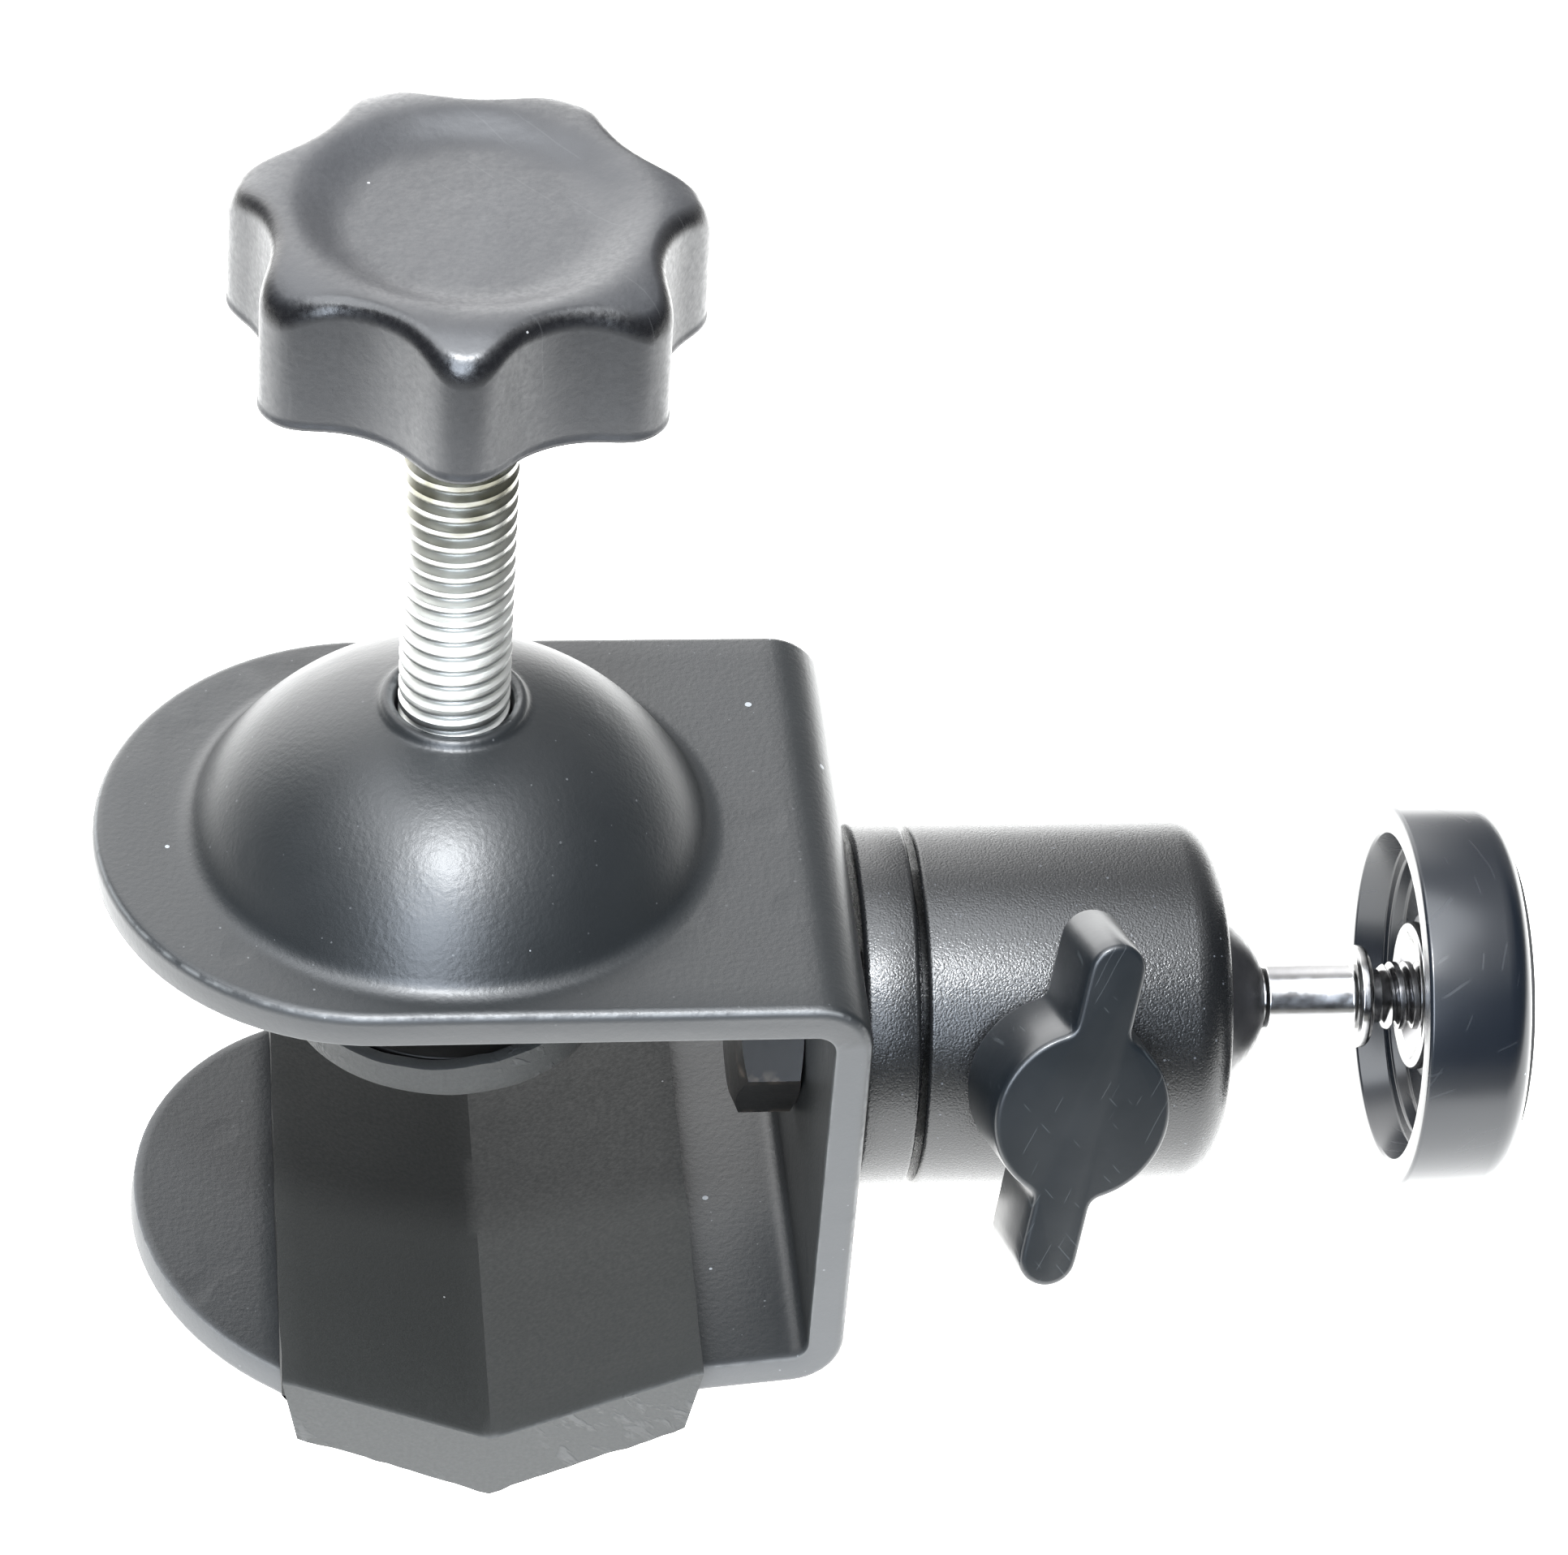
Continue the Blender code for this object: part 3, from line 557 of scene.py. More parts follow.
class Strip:
    """The bent strip's middle line: positions by the length along it, from the top free end."""

    def __init__(self):
        half = THICKNESS / 2
        slopes = [Vector(b) - Vector(a) for a, b in zip(LOW_PLATE, LOW_PLATE[1:])]
        low = []
        for i, point in enumerate(LOW_PLATE):
            ways = slopes[max(i - 1, 0) : i + 1]
            normals = [Vector((-w.y, w.x)).normalized() for w in ways]
            middle = sum(normals, Vector((0, 0))).normalized()
            low.append(Vector(point) + middle * (half / middle.dot(normals[0])))
        wall = WALL_OUTER - half
        foot = low[0] + (low[0] - low[1]) * ((wall - low[0].x) / (low[0].x - low[1].x))
        corners = [(TOP_END, PLATE_TOP - half), (wall, PLATE_TOP - half, BEND_RADIUS)]
        corners += [(wall, foot.y, BEND_RADIUS), (low[1].x, low[1].y, 9), (low[2].x, low[2].y, 4)]
        corners += [(low[3].x, low[3].y, 9), tuple(low[4])]
        self.path = [Vector(p) for p in rounded(corners, steps=9)]
        self.lengths = [0.0]
        for a, b in zip(self.path, self.path[1:]):
            self.lengths.append(self.lengths[-1] + (b - a).length)
        ways = [(b - a).normalized() for a, b in zip(self.path, self.path[1:])]
        self.ways = [(a + b).normalized() for a, b in zip([ways[0]] + ways, ways + [ways[-1]])]

    def at(self, length):
        """Position and direction at a length along the line."""
        last = len(self.path) - 2
        i = min(max(sum(1 for each in self.lengths[1:-1] if each <= length), 0), last)
        share = (length - self.lengths[i]) / (self.lengths[i + 1] - self.lengths[i])
        middle = self.path[i].lerp(self.path[i + 1], share)
        return middle, self.ways[i].lerp(self.ways[i + 1], share).normalized()

    def length_at(self, x):
        """The length where the lower plate is at x."""
        for i in range(len(self.path) - 1, 0, -1):
            a, b = self.path[i - 1], self.path[i]
            if b.x <= x <= a.x:
                return self.lengths[i] - (x - b.x) / (a.x - b.x) * (b - a).length
        raise ValueError(x)

    def wall_length(self, z):
        """The length where the back wall is at height z."""
        wall = PLATE_TOP - THICKNESS / 2 - BEND_RADIUS + 0.001
        length, point = next(each for each in zip(self.lengths, self.path) if each[1].y < wall)
        return length + point.y - z

    def spot(self, s, y, up, out=(0.0, 0.0), reach=0.0):
        """A point at (s, y), moved up along the normal and outwards in the strip's surface."""
        middle, way = self.at(s)
        tangent = Vector((way.x, 0, way.y))
        normal = Vector((-way.y, 0, way.x))
        base = Vector((middle.x, y, middle.y)) + normal * up
        return base + tangent * (out[0] * reach) + Vector((0, out[1] * reach, 0))


def inside(point, loop):
    """True if a point lies in a closed loop."""
    x, y = point
    found = False
    for (ax, ay), (bx, by) in zip(loop, loop[1:] + loop[:1]):
        if (ay > y) != (by > y) and x < (bx - ax) * (y - ay) / (by - ay) + ax:
            found = not found
    return found


def strip_edge(strip):
    """The strip's outline in (length, y), anticlockwise, and the lengths of its side points."""
    ends, sides = 44, 60
    turn = [radians(90 + 180 * i / ends) for i in range(ends + 1)]
    top = [(END_RADIUS_X * (1 + cos(a)), HALF_WIDTH * sin(a)) for a in turn]
    low_x = [LOW_END + END_RADIUS_X * (1 + cos(a)) for a in turn]
    low = [(strip.length_at(x), -HALF_WIDTH * sin(a)) for x, a in zip(low_x, turn)]
    start, end = END_RADIUS_X, low[-1][0]
    marks = [s for s in strip.lengths if start + 0.4 < s < end - 0.4]
    marks += [start + (end - start) * i / sides for i in range(1, sides)]
    marks.sort()
    marks = [s for s, after in zip(marks, marks[1:] + [end]) if after - s > 0.25]
    front = [(s, -HALF_WIDTH) for s in marks]
    back = [(s, HALF_WIDTH) for s in reversed(marks)]
    return top + front + low + back, marks


def dome_profiles():
    """Matching (r, z) rows of the dome's upper and lower surface, from its foot in to the bore."""
    radius = (DOME_RADIUS**2 + DOME_HEIGHT**2) / (2 * DOME_HEIGHT)
    centre = DOME_TOP - radius

    def surface(size, level, fillet, top_r):
        crossing = sqrt(size**2 - (level - centre) ** 2)
        tilt = acos((level - centre) / size)
        foot_r = crossing + fillet * tan(tilt / 2)
        bends = [tilt * i / 6 for i in range(7)]
        rows = [(foot_r - fillet * sin(t), level + fillet * (1 - cos(t))) for t in bends]
        first = acos((rows[-1][1] - centre) / size)
        last = acos(sqrt(size**2 - top_r**2) / size)
        angles = [first + (last - first) * i / 22 for i in range(1, 23)]
        return rows + [(size * sin(a), centre + size * cos(a)) for a in angles]

    upper = surface(radius, PLATE_TOP, 2.3, 7.1)
    z = upper[-1][1]
    upper += [(6.75, z + 0.1), (6.45, z + 0.3), (6.32, COLLAR_TOP - 0.4), (6.12, COLLAR_TOP - 0.12)]
    upper += [(5.8, COLLAR_TOP), (5.45, COLLAR_TOP - 0.05), (5.2, COLLAR_TOP - 0.25)]
    upper += [(5.08, COLLAR_TOP - 0.7), (5.06, COLLAR_TOP - 1.8)]
    lower = surface(radius - THICKNESS, PLATE_TOP - THICKNESS, 1.2, 5.06)
    scale = (len(lower) - 1) / (len(upper) - 1)
    return upper, [lower[round(i * scale)] for i in range(len(upper))]


def flat_sheet(border, holes, lengths):
    """Points and faces of the flattened strip. Each hole is (length, radius, steps, clearance)."""
    loops = [border] + [circle(radius, steps, s) for s, radius, steps, _ in holes]
    flat, constraints = [], []
    for loop in loops:
        start = len(flat)
        flat += loop
        constraints += [(start + i, start + (i + 1) % len(loop)) for i in range(len(loop))]
    across = 18
    reach = HALF_WIDTH - EDGE_ROUND
    for s in lengths:
        for k in range(1, across):
            y = (2 * k / across - 1) * reach
            clear = all(hypot(s - at, y) > radius + gap for at, radius, _, gap in holes)
            near = min((s - a) ** 2 + (y - b) ** 2 for a, b in border)
            if clear and near > 0.5 and inside((s, y), border):
                flat.append((s, y))
    found = delaunay_2d_cdt([Vector(p) for p in flat], constraints, [], 0, 1e-5)
    spots = [tuple(v) for v in found[0]]
    faces = []
    for face in found[2]:
        s, y = sum((Vector(spots[i]) for i in face), Vector((0, 0))) / len(face)
        solid = all(hypot(s - at, y) > radius - 0.01 for at, radius, _, _ in holes)
        if solid and inside((s, y), border):
            faces.append(tuple(face))

    def number(point):
        return min(range(len(spots)), key=lambda i: (Vector(spots[i]) - Vector(point)).length)

    return spots, faces, [[number(p) for p in loop] for loop in loops]


def edge_section():
    """The strip's edge, as (outwards, up, wear): rounded above, cut square below."""
    half = THICKNESS / 2
    section = []
    for k in range(1, 7):
        bend = radians(15 * k)
        up = half - EDGE_ROUND * (1 - cos(bend))
        section.append((EDGE_ROUND * sin(bend), up, float(k == 3)))
    section += [(EDGE_ROUND, 0.0, 0.0), (EDGE_ROUND, 0.35 - half, 0.0)]
    return section + [(EDGE_ROUND - 0.1, 0.1 - half, 0.35), (EDGE_ROUND - 0.35, -half, 0.0)]


def clamp_frame():
    strip = Strip()
    edge, marks = strip_edge(strip)
    border = inset(edge, EDGE_ROUND)
    upper, lower = dome_profiles()
    around_dome = 120
    hole = (strip.wall_length(BALL.z), BOLT_HOLE_RADIUS, 32, 0.75)
    holes = ((-TOP_END, upper[0][0], around_dome, 0.9), hole)
    lengths = marks + [3.0 * i for i in range(1, int(marks[0] / 3))]
    lengths += [marks[-1] + 2.6 * i for i in range(1, 9)]
    spots, faces, loops = flat_sheet(border, holes, lengths)
    shape = Shape()
    half = THICKNESS / 2
    tops = [shape.point(*strip.spot(s, y, half)) for s, y in spots]
    lows = [shape.point(*strip.spot(s, y, -half)) for s, y in spots]
    for face in faces:
        shape.faces.append(tuple(tops[i] for i in face))
        shape.faces.append(tuple(lows[i] for i in reversed(face)))
    sides = (tops, lows)
    rim, dome_foot, bolt_hole = ([[side[i] for i in loop] for side in sides] for loop in loops)
    rows = [rim[0]]
    normals = outward(edge)
    for out, up, wear in edge_section():
        row = []
        for (s, y), n in zip(border, normals):
            spot = strip.spot(s, y, up, n, out)
            if out == EDGE_ROUND:
                spot = strip.spot(s, y, up, n, out - abs(0.1 * noise.noise(spot / 7)))
            cut = max(0.0, (out - 0.5) * 2) * (0.45 if spot.z > PLATE_TOP - 4 else 1.0)
            row.append(shape.point(*spot, rim=cut, wear=wear))
        rows.append(row)
    shape.skin(rows + [rim[1]])
    bore = []
    for first, profile in ((dome_foot[0], upper[1:]), (dome_foot[1], lower)):
        rows = [first]
        for r, z in profile:
            wear = 0.9 if r < 5.5 and z > COLLAR_TOP - 0.4 else 0.0
            rows.append(shape.ring(circle(r, around_dome), z, wear=wear))
        shape.skin(rows)
        bore.append(rows[-1])
    shape.strip(*bore)
    shape.strip(*bolt_hole)
    shape.piece("steel_c_frame", "frame", "powder_coat", "clamp_frame")


# ----------------------------------------------------------- the other parts


def v_pad():
    centre = (PAD_LOW.x + PAD_HIGH.x) / 2
    valley = PAD_HIGH.z - PAD_SLOPE * (PAD_HIGH.x - centre)
    count = 34
    left, right = PAD_LOW.x + 0.1, PAD_HIGH.x - 0.1
    xs = [left + (right - left) * i / count for i in range(count + 1)]
    tips = (xs[0], xs[-1])

    def top(x):
        return valley + PAD_SLOPE * sqrt((x - centre) ** 2 + 0.12)

    def plate(x):
        """Just above the lower plate."""
        for (bx, bz), (ax, az) in zip(LOW_PLATE, LOW_PLATE[1:]):
            if ax <= x <= bx:
                return az + (bz - az) * (x - ax) / (bx - ax) + 0.1
        raise ValueError(x)

    def wander(x, y):
        """How far the cut tips of the V stray along their length."""
        return 0.16 * noise.noise(Vector((x * 0.02, y * 0.16, 3))) if x in tips else 0.0

    end = PAD_HIGH.y
    step = HALF_WIDTH + 0.25
    rows = [(-end, 1.0), (-end + 0.22, 1.0), (-end + 0.6, 1.0), (-step, 1.0), (-step, 0.0)]
    rows += [(-step + 2 * step * i / 36, 0.0) for i in range(1, 36)]
    rows += [(-y, lip) for y, lip in reversed(rows[:5])]
    shape = Shape()
    loops = []
    for y, lip in rows:
        drop = 0.28 * max(0.0, 1 - (end - abs(y)) / 0.6) ** 2
        face = 1.0 if end - abs(y) < 0.15 else 0.0
        loop = []
        for x in xs:
            shave = 0.22 if x in tips else 0.0
            z = top(x) - drop - shave + 0.05 * noise.noise(Vector((x * 0.2, y * 0.2, 0)))
            loop.append(shape.point(x + wander(x, y), y, z, rim=face))
        for x in reversed(xs):
            inward = 0.0 if x not in tips else 0.03 if x < centre else -0.03
            place, z = x + wander(x, y) + inward, plate(x)
            if lip:
                ragged = 0.25 * noise.noise(Vector((x * 0.45, y * 0.3, 8)))
                ragged += 0.18 * noise.noise(Vector((x * 1.3, y, 2)))
                place += (centre - x) * 0.07
                z = top(x) - PAD_LIP_DEPTH + ragged + drop
            loop.append(shape.point(place, y, z, rim=lip))
        loops.append(loop)
    shape.skin(loops)
    for loop in (loops[0], loops[-1]):
        size = len(loop)
        for k in range(count):
            shape.faces.append((loop[k], loop[k + 1], loop[size - 2 - k], loop[size - 1 - k]))
    shape.piece("rubber_v_pad", "frame", "pad_rubber", "v_pad", sharp=35)


def clamp_screw():
    start, top = FOOT_CENTRE.z + 6.6, node_box("clamp_screw")[1].z
    neck, ball = 2.3, 3.8
    bright, dull = 71, 84  # heights between which the plating darkens: painted reflection of the warm room
    joint = FOOT_CENTRE.z + sqrt(ball**2 - neck**2)
    shape = Shape()
    thread(shape, SCREW_RADIUS, SCREW_PITCH, 0.74, start, KNOB_LOW.z + 2.4, 56,
           tarnish=lambda z: min(1, max(0, (z - bright) / (dull - bright))))
    profile = rounded([(0, start + 0.5), (3.6, start + 0.5, 0.1), (3.6, start - 0.2, 0.3),
                       (neck, joint + 2.4, 0.5), (neck, joint)])
    profile += arc(ball, acos(neck / ball), -pi / 2, 16, FOOT_CENTRE.z)[1:]
    lathe(shape, profile + [(0, FOOT_CENTRE.z - ball)], 48)
    hexagon(shape, SCREW_HEAD_ACROSS, top - 6.2, top)
    shape.piece("clamp_screw_rod", "screw", "zinc", "clamp_screw", sharp=50)


def hexagon(shape, across, low, high, turn=0.0):
    """A hexagon head with chamfered corners, from low to high."""
    flat = across / 2

    def ring(z, limit=None):
        row = []
        for a in around(60):
            away = (a % (pi / 3)) - pi / 6
            r = flat / cos(away)
            drop = 0.0 if limit else max(0.0, r - flat * 0.97) * 0.5
            height = z - drop if z == high else z + drop * 0.5
            r = min(r, limit) if limit else r
            # Corner mark: the dark steel paints it brown, as a reflection of the warm room.
            corner = 1.0 if abs(abs(away) - pi / 6) < 0.06 else 0.0
            row.append(shape.point(r * cos(a + turn), r * sin(a + turn), height, wear=corner))
        return row

    crown = ring(high, flat * 0.95)
    rows = [ring(low, flat * 0.95), ring(low), ring(high), crown]
    shape.skin(rows)
    shape.fan(crown, shape.point(0, 0, high))
    shape.fan(rows[0], shape.point(0, 0, low))


def rays(distance, count, longest):
    """The outline where distance(x, y) passes zero, found along rays from the middle."""
    points = []
    for a in around(count):
        x, y = cos(a), sin(a)
        low, high = 0.0, longest
        for _ in range(24):
            middle = (low + high) / 2
            if distance(x * middle, y * middle) < 0:
                low = middle
            else:
                high = middle
        points.append((x * low, y * low))
    return points


def resample(outline, count):
    """The same closed outline with evenly spaced points."""
    lengths = [0.0]
    for a, b in zip(outline, outline[1:] + outline[:1]):
        lengths.append(lengths[-1] + hypot(b[0] - a[0], b[1] - a[1]))
    points = []
    side = 0
    for i in range(count):
        want = lengths[-1] * i / count
        while lengths[side + 1] < want:
            side += 1
        share = (want - lengths[side]) / (lengths[side + 1] - lengths[side])
        a, b = outline[side], outline[(side + 1) % len(outline)]
        points.append((a[0] + (b[0] - a[0]) * share, a[1] + (b[1] - a[1]) * share))
    return points


def blend(first, second, size):
    """A smooth maximum of two distances: it rounds the corner where they meet."""
    near = max(size - abs(first - second), 0.0) / size
    return max(first, second) + near * near * size / 4


def knob_outline():
    """Seven lobes: a circle with a round scallop between each pair, the lobe corners eased."""
    pitch = 2 * pi / 7
    first = radians(266) + pitch / 2
    centres = [(25.8 * cos(first + pitch * i), 25.8 * sin(first + pitch * i)) for i in range(7)]

    def distance(x, y):
        scallop = max(9.5 - hypot(x - cx, y - cy) for cx, cy in centres)
        return blend(hypot(x, y) - 19.75, scallop, 2.1)

    return resample(rays(distance, 560, 24.0), 378)


def knob_top(r):
    """Height of the knob's dished and rounded top, by radius."""
    top = KNOB_HIGH.z
    share = min(1.0, max(0.0, (14.4 - r) / 4.4))
    dish = 1.35 * share * share * (3 - 2 * share)
    fall = max(0.0, r - 14.6)
    return top - dish - 3.9 * (1 - sqrt(max(0.0, 1 - (fall / 5.6) ** 2)))


def star_knob():
    bottom = KNOB_LOW.z
    outline = knob_outline()
    shape = Shape()
    skirt = ((0.0, 0.35), (0.12, 0.08), (0.3, -0.1), (0.62, -0.1), (0.8, 0.02), (1.2, 0.0))
    skirt += ((3.0, 0.03),)
    rings = [shape.ring(inset(outline, away), bottom + z) for z, away in skirt]
    fillet, draft, steps = 1.4, 0.08, 7
    for i in range(steps + 1):
        bend = pi / 2 * i / steps
        # The rounded top edge is marked for painted shade and more gloss in the material.
        wear = sin(2 * bend) ** 0.7 if 0 < i < steps else 0.2
        ring = []
        for x, y in inset(outline, draft + fillet * (1 - cos(bend))):
            z = knob_top(hypot(x, y)) - fillet * (1 - sin(bend))
            ring.append(shape.point(x, y, z, wear=wear))
        rings.append(ring)
    shrunk = inset(outline, draft + fillet)
    for share in (0.95, 0.9, 0.84, 0.77, 0.69, 0.6, 0.5, 0.4, 0.3, 0.2, 0.12, 0.06):
        ring = []
        for x, y in shrunk:
            r = hypot(x, y)
            even = share * (r * share + 16.2 * (1 - share)) / r
            ring.append(shape.point(x * even, y * even, knob_top(r * even) + gate_mark(r * even)))
        rings.append(ring)
    rings.append([shape.point(0, 0, knob_top(0) + gate_mark(0))])
    shape.skin(rings)
    under(shape, rings[0], outline, bottom)
    shape.piece("seven_lobe_knob", "screw", "satin_plastic", "star_knob", sharp=48)


def gate_mark(r):
    """The small raised ring that the mould's gate leaves."""
    return 0.12 * max(0.0, 1 - abs(r - 1.5) / 0.6)


def under(shape, rim, outline, bottom):
    """The knob's underside: a rim, a shallow recess and a hexagonal pocket for the screw's head."""
    flat = SCREW_HEAD_ACROSS / 2 + 0.3
    corner = flat * 1.155
    rows = [rim]
    for away, z in ((2.2, 0.0), (2.6, 0.5), (2.8, 1.6)):
        rows.append(shape.ring(inset(outline, away), bottom + z))
    for boss, z in ((1.35, 1.6), (1.3, 0.3), (None, 0.2), (None, 8.6)):
        row = []
        for x, y in outline:
            angle = Vector((x, y)).angle_signed(Vector((1, 0)))
            r = corner * boss if boss else flat / cos((angle % (pi / 3)) - pi / 6)
            row.append(shape.point(r * cos(angle), r * sin(angle), bottom + z))
        rows.append(row)
    rows.append([shape.point(0, 0, bottom + 8.6)])
    shape.skin(rows)


def foot():
    floor = node_box("foot_disc")[0].z - FOOT_CENTRE.z
    socket = 4.1
    profile = rounded([(0, floor), (12.5, floor, 0.2), (12.5, floor + 1.4, 0.3),
                       (6.8, floor + 1.4, 0.8), (6.8, 3.3, 0.4), (5.4, 3.3, 0.2), (5.4, 1.9, 0.1),
                       (socket, 1.9, 0.2)])
    profile += arc(socket, 0, -pi / 2, 8) + [(0, -socket)]
    shape = lathe(Shape(), profile, 72)
    shape.piece("foot_socket_disc", "foot", "dark_steel", "foot_disc", centre=FOOT_CENTRE)
    cup = Shape()
    low = BOOT_LOW.z
    wall = BOOT_HIGH.x
    # Radius, height, and whether the height counts from the ragged lip
    section = ((0.0, 0.0, 0), (wall - 0.7, 0.0, 0), (wall - 0.2, 0.2, 0), (wall, 0.7, 0),
               (wall, 1.5, 0), (wall, 0.0, 1), (wall - 0.25, 0.15, 1), (wall - 1.2, 0.07, 1),
               (12.9, -0.35, 1), (12.8, 1.3, 0), (0.0, 1.2, 0))
    rows = []
    for k, (r, h, at_lip) in enumerate(section):
        if r == 0:
            rows.append([cup.point(0, 0, low + h)])
            continue
        row = []
        for a in around(144):
            lip = 3.1 + max(0.0, cos(a + radians(38))) ** 2
            lip += 0.3 * noise.noise(Vector((cos(a) * 3, sin(a) * 3, 1)))
            lip += 0.12 * noise.noise(Vector((cos(a) * 9, sin(a) * 9, 4)))
            z = lip + h if at_lip else h
            size = r - abs(0.12 * noise.noise(Vector((cos(a) * 2, sin(a) * 2, z * 0.4))))
            rim = 1.0 if 1 < k < 8 else 0.0
            row.append(cup.point(size * cos(a), size * sin(a), low + z, rim=rim))
        rows.append(row)
    cup.skin(rows)
    cup.piece("foot_rubber_cup", "foot", "pad_rubber", "foot_boot")


def mount_bolt():
    low, high = node_box("mount_bolt")
    seat = WALL_OUTER - THICKNESS
    shape = Shape()
    hexagon(shape, 17.0, -seat, -low.x, turn=pi / 2)
    lathe(shape, [(0, -high.x), (4.8, -high.x), (4.8, -seat), (0, -seat)], 40)
    back = Matrix(((0, 0, -1), (0, 1, 0), (1, 0, 0)))  # local +Z to -X
    centre = (0, 0, BALL.z)
    shape.piece("hex_mount_bolt", "frame", "dark_steel", "mount_bolt", back, centre, 25)


def on_head(name, body, slot, node, profile, steps=128):
    """A ring turned about the ball head's axis, its heights measured along X."""
    shape = lathe(Shape(), profile, steps, closed=True)
    shape.piece(name, body, slot, node, AXIS_X, (0, 0, BALL.z))


def ball_head():
    radius = HOUSING_HIGH.y
    start, end = BASE_LOW.x, 40.8
    spigot = 12.0
    flange = rounded([(BOLT_HOLE_RADIUS, BASE_HIGH.x), (spigot, BASE_HIGH.x, 0.3),
                      (spigot, end, 0.1), (radius, end, 0.45), (radius, start, 0.55),
                      (radius - 1.6, start, 0.1), (radius - 1.6, start + 0.3, 0.1),
                      (BOLT_HOLE_RADIUS, start + 0.3)])
    on_head("base_flange", "frame", "anodised", "ballhead_base", flange)
    mouth, back = HOUSING_HIGH.x, HOUSING_LOW.x
    seat = 8.75
    lip = sqrt(seat**2 - (mouth - BALL.x) ** 2)
    corners = [(lip, mouth), (radius, mouth, 3.7), (radius, back, 0.45)]
    corners += [(12.3, back, 0.2), (12.3, 45.8), (8.9, 45.8), (8.9, BALL.x)]
    barrel = rounded(corners, steps=9) + arc(seat, radians(3), radians(23), 5, BALL.x)
    on_head("head_barrel", "frame", "anodised", "ballhead_housing", barrel)


def ball_and_stem():
    size, face = 8.6, 7.95
    first = acos(sqrt(size**2 - face**2) / size)
    profile = [(0, face - 0.35), (2.35, face - 0.35), (2.45, face - 0.3), (2.7, face + 0.05)]
    profile += [(2.9, face)] + arc(size, first, -pi / 2, 44) + [(0, -size)]
    ball = lathe(Shape(), profile, 96)
    ball.piece("pivot_ball", "ball", "ball_black", "ball", AXIS_X, BALL)
    turned = rounded([(0, 5.0), (2.3, 5.0), (2.3, face + 0.3), (2.75, face + 0.3, 0.1),
                      (3.02, face + 0.6, 0.2), (3.02, 16.5, 0.35), (4.3, 16.5, 0.3),
                      (4.65, 16.8, 0.2), (4.65, 17.5, 0.3), (4.3, 17.85, 0.2), (2.45, 18.0, 0.25),
                      (2.45, 19.0, 0.1), (0, 19.2)], steps=5)
    stem = lathe(Shape(), turned, 96)
    end = node_box("ball_stem")[1].x - BALL.x
    thread(stem, STUD_RADIUS, STUD_PITCH, 0.72, 18.9, end, 40)
    stem.piece("stem_and_stud", "stem", "chrome", "ball_stem", AXIS_X, BALL, 45)


def platform():
    start = DISC_LOW.x
    radius = (DISC_HIGH.y - DISC_LOW.y) / 2
    disc = [(5.3, 3.3), (5.3, 7.9, 0.1), (4.6, 7.9, 0.1), (4.6, 9.1, 0.1), (14.7, 9.1, 0.1),
            (14.7, 9.6, 0.1), (radius, 9.6, 2.5), (radius, 0, 0.35), (14.85, 0, 0.3),
            (14.15, 2.7, 0.25), (13.0, 2.85, 0.35), (12.7, 4.2, 0.4), (8.0, 4.2, 0.4),
            (7.6, 3.3, 0.3)]
    bush = [(3.4, 7.6), (5.0, 7.6, 0.2), (5.0, 3.0, 0.1), (6.7, 3.0, 0.3), (6.7, 1.75, 0.35),
            (5.9, 1.75, 0.3), (5.2, 2.15, 0.3), (3.4, 3.7, 0.2)]

    def placed(corners, steps):
        return rounded([(r, start + h, *bend) for r, h, *bend in corners], True, steps)

    on_head("locking_disc", "platform", "gloss_plastic", "platform_disc", placed(disc, 6), 144)
    on_head("threaded_bush", "platform_carrier", "chrome", "platform_insert", placed(bush, 5), 96)
    low, high = node_box("platform_pad")
    corners = [(5.0, high.x, 0.2), (14.3, high.x, 0.3), (14.3, low.x, 0.1), (5.0, low.x, 0.1)]
    on_head("platform_face", "platform", "face_rubber", "platform_pad", rounded(corners, True), 120)


def lock_frame():
    """Turns local +Z along the lock screw and local +Y along the wings."""
    across = LOCK_AXIS.cross(Vector((1, 0, 0))).normalized()
    wing = Matrix.Rotation(radians(-11), 3, LOCK_AXIS) @ across
    return Matrix((wing.cross(LOCK_AXIS), wing, LOCK_AXIS)).transposed()


def wing_outline():
    """Round hub with two straight wings, the inner corners eased."""
    hub, reach, half = 8.0, 16.0, 2.7

    def distance(x, y):
        tip = reach - half
        wing = hypot(x, max(abs(y) - tip, 0.0)) - half
        return -blend(hub - hypot(x, y), -wing, 0.8)

    return rays(distance, 400, reach + 1)


def wing_knob():
    low, high = 18.6, 27.6
    bore, bore_end = 3.2, 25.4
    outline = resample(wing_outline(), 260)
    shape = Shape()
    layers = ((0.5, low), (0.12, low + 0.15), (0.0, low + 0.6), (0.1, high - 2), (0.14, high - 0.5),
              (0.22, high - 0.2), (0.42, high - 0.04), (0.7, high))
    rings = [shape.ring(inset(outline, away), z) for away, z in layers]
    shape.skin(rings)
    shape.cap(rings[-1])
    start = min(range(len(outline)), key=lambda i: abs(outline[i][1]) - outline[i][0])
    hole = [shape.ring(circle(bore, len(outline)), z) for z in (low, bore_end)]
    shape.skin([rings[0][start:] + rings[0][:start]] + hole)
    shape.cap(hole[-1])
    turn = lock_frame()
    shape.piece("wing_lock_knob", "lock", "wing_plastic", "wing_knob", turn, LOCK, 42)
    stud = thread(Shape(), LOCK_RADIUS, LOCK_PITCH, 0.55, 10.8, 25.1, 36)
    stud.piece("lock_stud", "lock", "zinc", "lock_screw", turn, LOCK, 45)


def dress(node, slot):
    """A CAD node that stays gets its procedural finish."""
    mesh = frame["nodes"][node].data
    mesh.materials.clear()
    mesh.materials.append(FINISHES[slot])


# ------------------------------------------------------------ floor and light


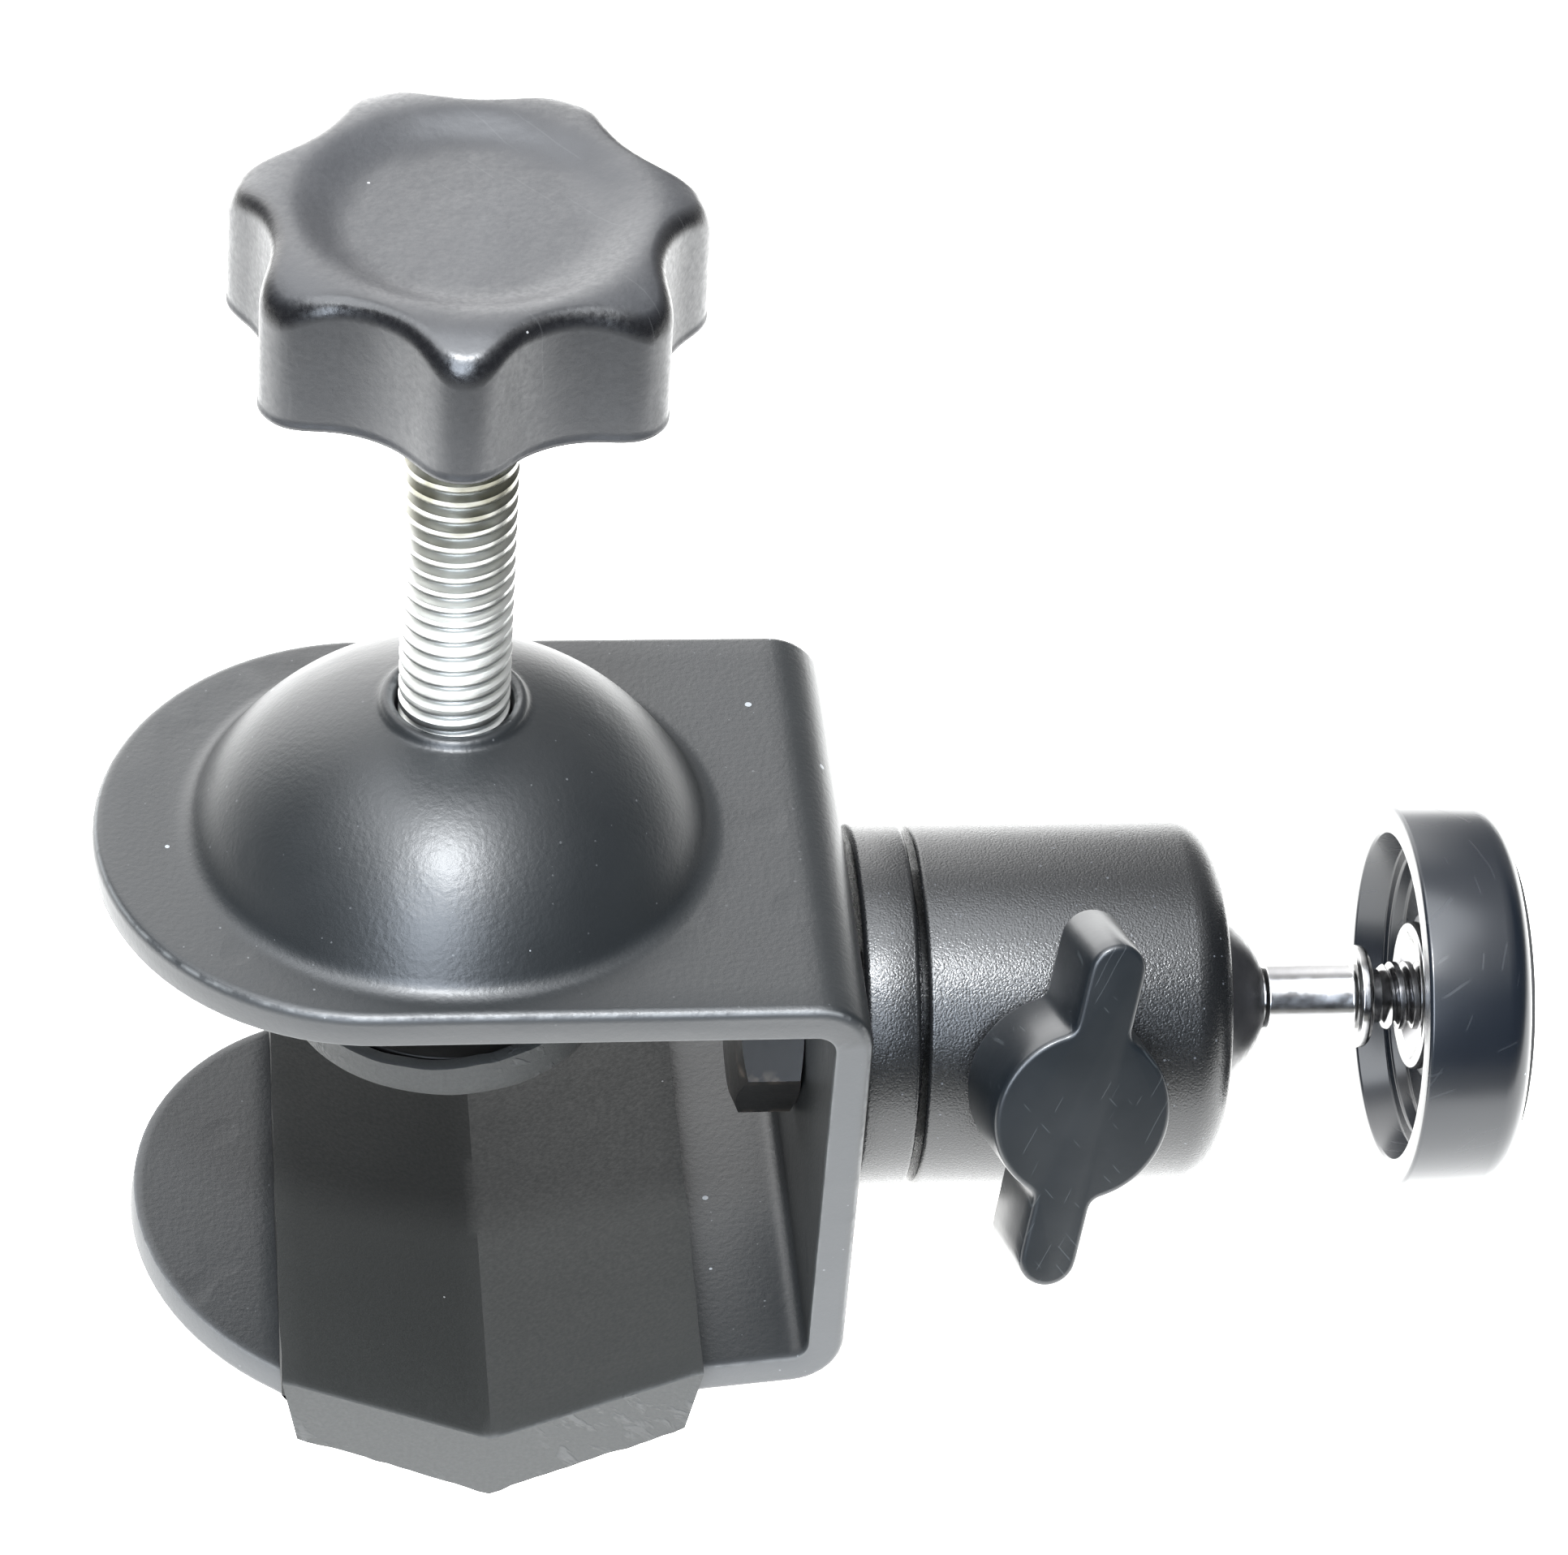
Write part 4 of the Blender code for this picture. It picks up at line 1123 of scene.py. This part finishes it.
def floor():
    """White near the object and behind it, greyer and warmer towards the front of the room."""
    mesh = bpy.data.meshes.new("floor")
    z = CAD_BOX[0].z - 0.0005
    corners = [(-1, -1), (1, -1), (1, 1), (-1, 1)]
    mesh.from_pydata([(FLOOR_SIDE * x, FLOOR_SIDE * y, z) for x, y in corners], [], [(0, 1, 2, 3)])
    made = bpy.data.objects.new("floor", mesh)
    bpy.context.scene.collection.objects.link(made)
    f = Finish("floor_white")
    across, along, _ = f.add("ShaderNodeSeparateXYZ", {0: f.place}).outputs
    near = f.fit(f.calc("ABSOLUTE", across), 0.3, 0.6, 1.0, 0.25)
    near = f.times(near, f.fit(along, -0.135, -0.098))
    tone = f.mix(f.noise(3.0, 2.0), (0.33, 0.33, 0.325), (0.36, 0.36, 0.355))
    tone = f.mix(near, (0.17, 0.16, 0.135), tone)
    glow = (1.0, 1.0, 0.985, 1.0)
    light = f.times(near, 3.6)
    mesh.materials.append(f.done(tone, 0.7, Emission_Color=glow, Emission_Strength=light))


def softbox(name, azimuth, elevation, distance, size, radiance, tall=1.0, tint=(1.0, 1.0, 1.0)):
    """An oval light aimed at the object, by the radiance that it shows."""
    aim = Vector((0.02, 0, 0.04))
    a, e = radians(azimuth), radians(elevation)
    away = Vector((sin(a) * cos(e), -cos(a) * cos(e), sin(e)))
    light = bpy.data.lights.new(name, "AREA")
    light.shape = "ELLIPSE"
    light.color = tint
    light.size = size
    light.size_y = size * tall
    light.energy = radiance * pi * pi * (size / 2) ** 2 * tall
    made = bpy.data.objects.new(name, light)
    made.location = aim + away * distance
    made.rotation_euler = away.to_track_quat("Z", "Y").to_euler()
    bpy.context.scene.collection.objects.link(made)


def surroundings():
    """A white wall behind, a bright ceiling and a darker room in front."""
    world = bpy.data.worlds.new("studio")
    bpy.context.scene.world = world
    world.use_nodes = True
    tree = world.node_tree
    sky = tree.nodes["Background"]

    def fit(socket, low, high, start, end):
        node = tree.nodes.new("ShaderNodeMapRange")
        node.interpolation_type = "SMOOTHSTEP"
        ends = {"From Min": low, "From Max": high, "To Min": start, "To Max": end}
        for key, value in ends.items():
            node.inputs[key].default_value = value
        tree.links.new(socket, node.inputs["Value"])
        return node.outputs[0]

    def calc(operation, first, second):
        node = tree.nodes.new("ShaderNodeMath")
        node.operation = operation
        tree.links.new(first, node.inputs[0])
        tree.links.new(second, node.inputs[1])
        return node.outputs[0]

    where = tree.nodes.new("ShaderNodeTexCoord")
    parts = tree.nodes.new("ShaderNodeSeparateXYZ")
    tree.links.new(where.outputs["Generated"], parts.inputs[0])
    x, y, z = parts.outputs
    wall = calc("MULTIPLY", fit(y, 0.2, 0.7, 0.0, 4.6), fit(z, 0.62, 0.92, 1.0, 0.0))
    wall = calc("MULTIPLY", wall, fit(x, 0.06, 0.25, 1.0, 0.12))
    wall = calc("MULTIPLY", wall, fit(x, -0.85, -0.5, 0.2, 1.0))
    ceiling = fit(z, 0.6, 0.95, 0.02, 1.2)
    tree.links.new(calc("ADD", wall, ceiling), sky.inputs["Strength"])
    sky.inputs["Color"].default_value = (1, 1, 1, 1)


def camera():
    """The lens and viewpoint that the object is seen from."""
    data = bpy.data.cameras.new("camera")
    data.sensor_width = 36
    data.lens = 127.93
    made = bpy.data.objects.new("camera", data)
    turn = Euler((radians(49.34), radians(-3.658), radians(-5.277)))
    made.matrix_world = Matrix.LocRotScale(Vector((-0.024857, -0.362809, 0.364478)), turn, None)
    bpy.context.scene.collection.objects.link(made)
    bpy.context.scene.camera = made


camera()
clamp_frame()
v_pad()
clamp_screw()
star_knob()
foot()
mount_bolt()
ball_head()
ball_and_stem()
platform()
wing_knob()
for hidden in ("weld_nut", "foot_ring", "base_washer"):
    dress(hidden, "dark_steel")
for hidden in ("ball_seat", "lock_plunger"):
    dress(hidden, "brass")
floor()
surroundings()
softbox("key", -7, 61, 0.9, 0.11, 400.0, tint=(0.97, 1.0, 1.03))
softbox("hood", -62, 80, 0.9, 0.9, 6.6, tint=(0.96, 1.0, 1.05))
softbox("window", -12, 34, 0.9, 0.4, 15.0, tall=1.7, tint=(0.9, 1.0, 1.14))
bpy.context.scene.view_settings.view_transform = "Standard"
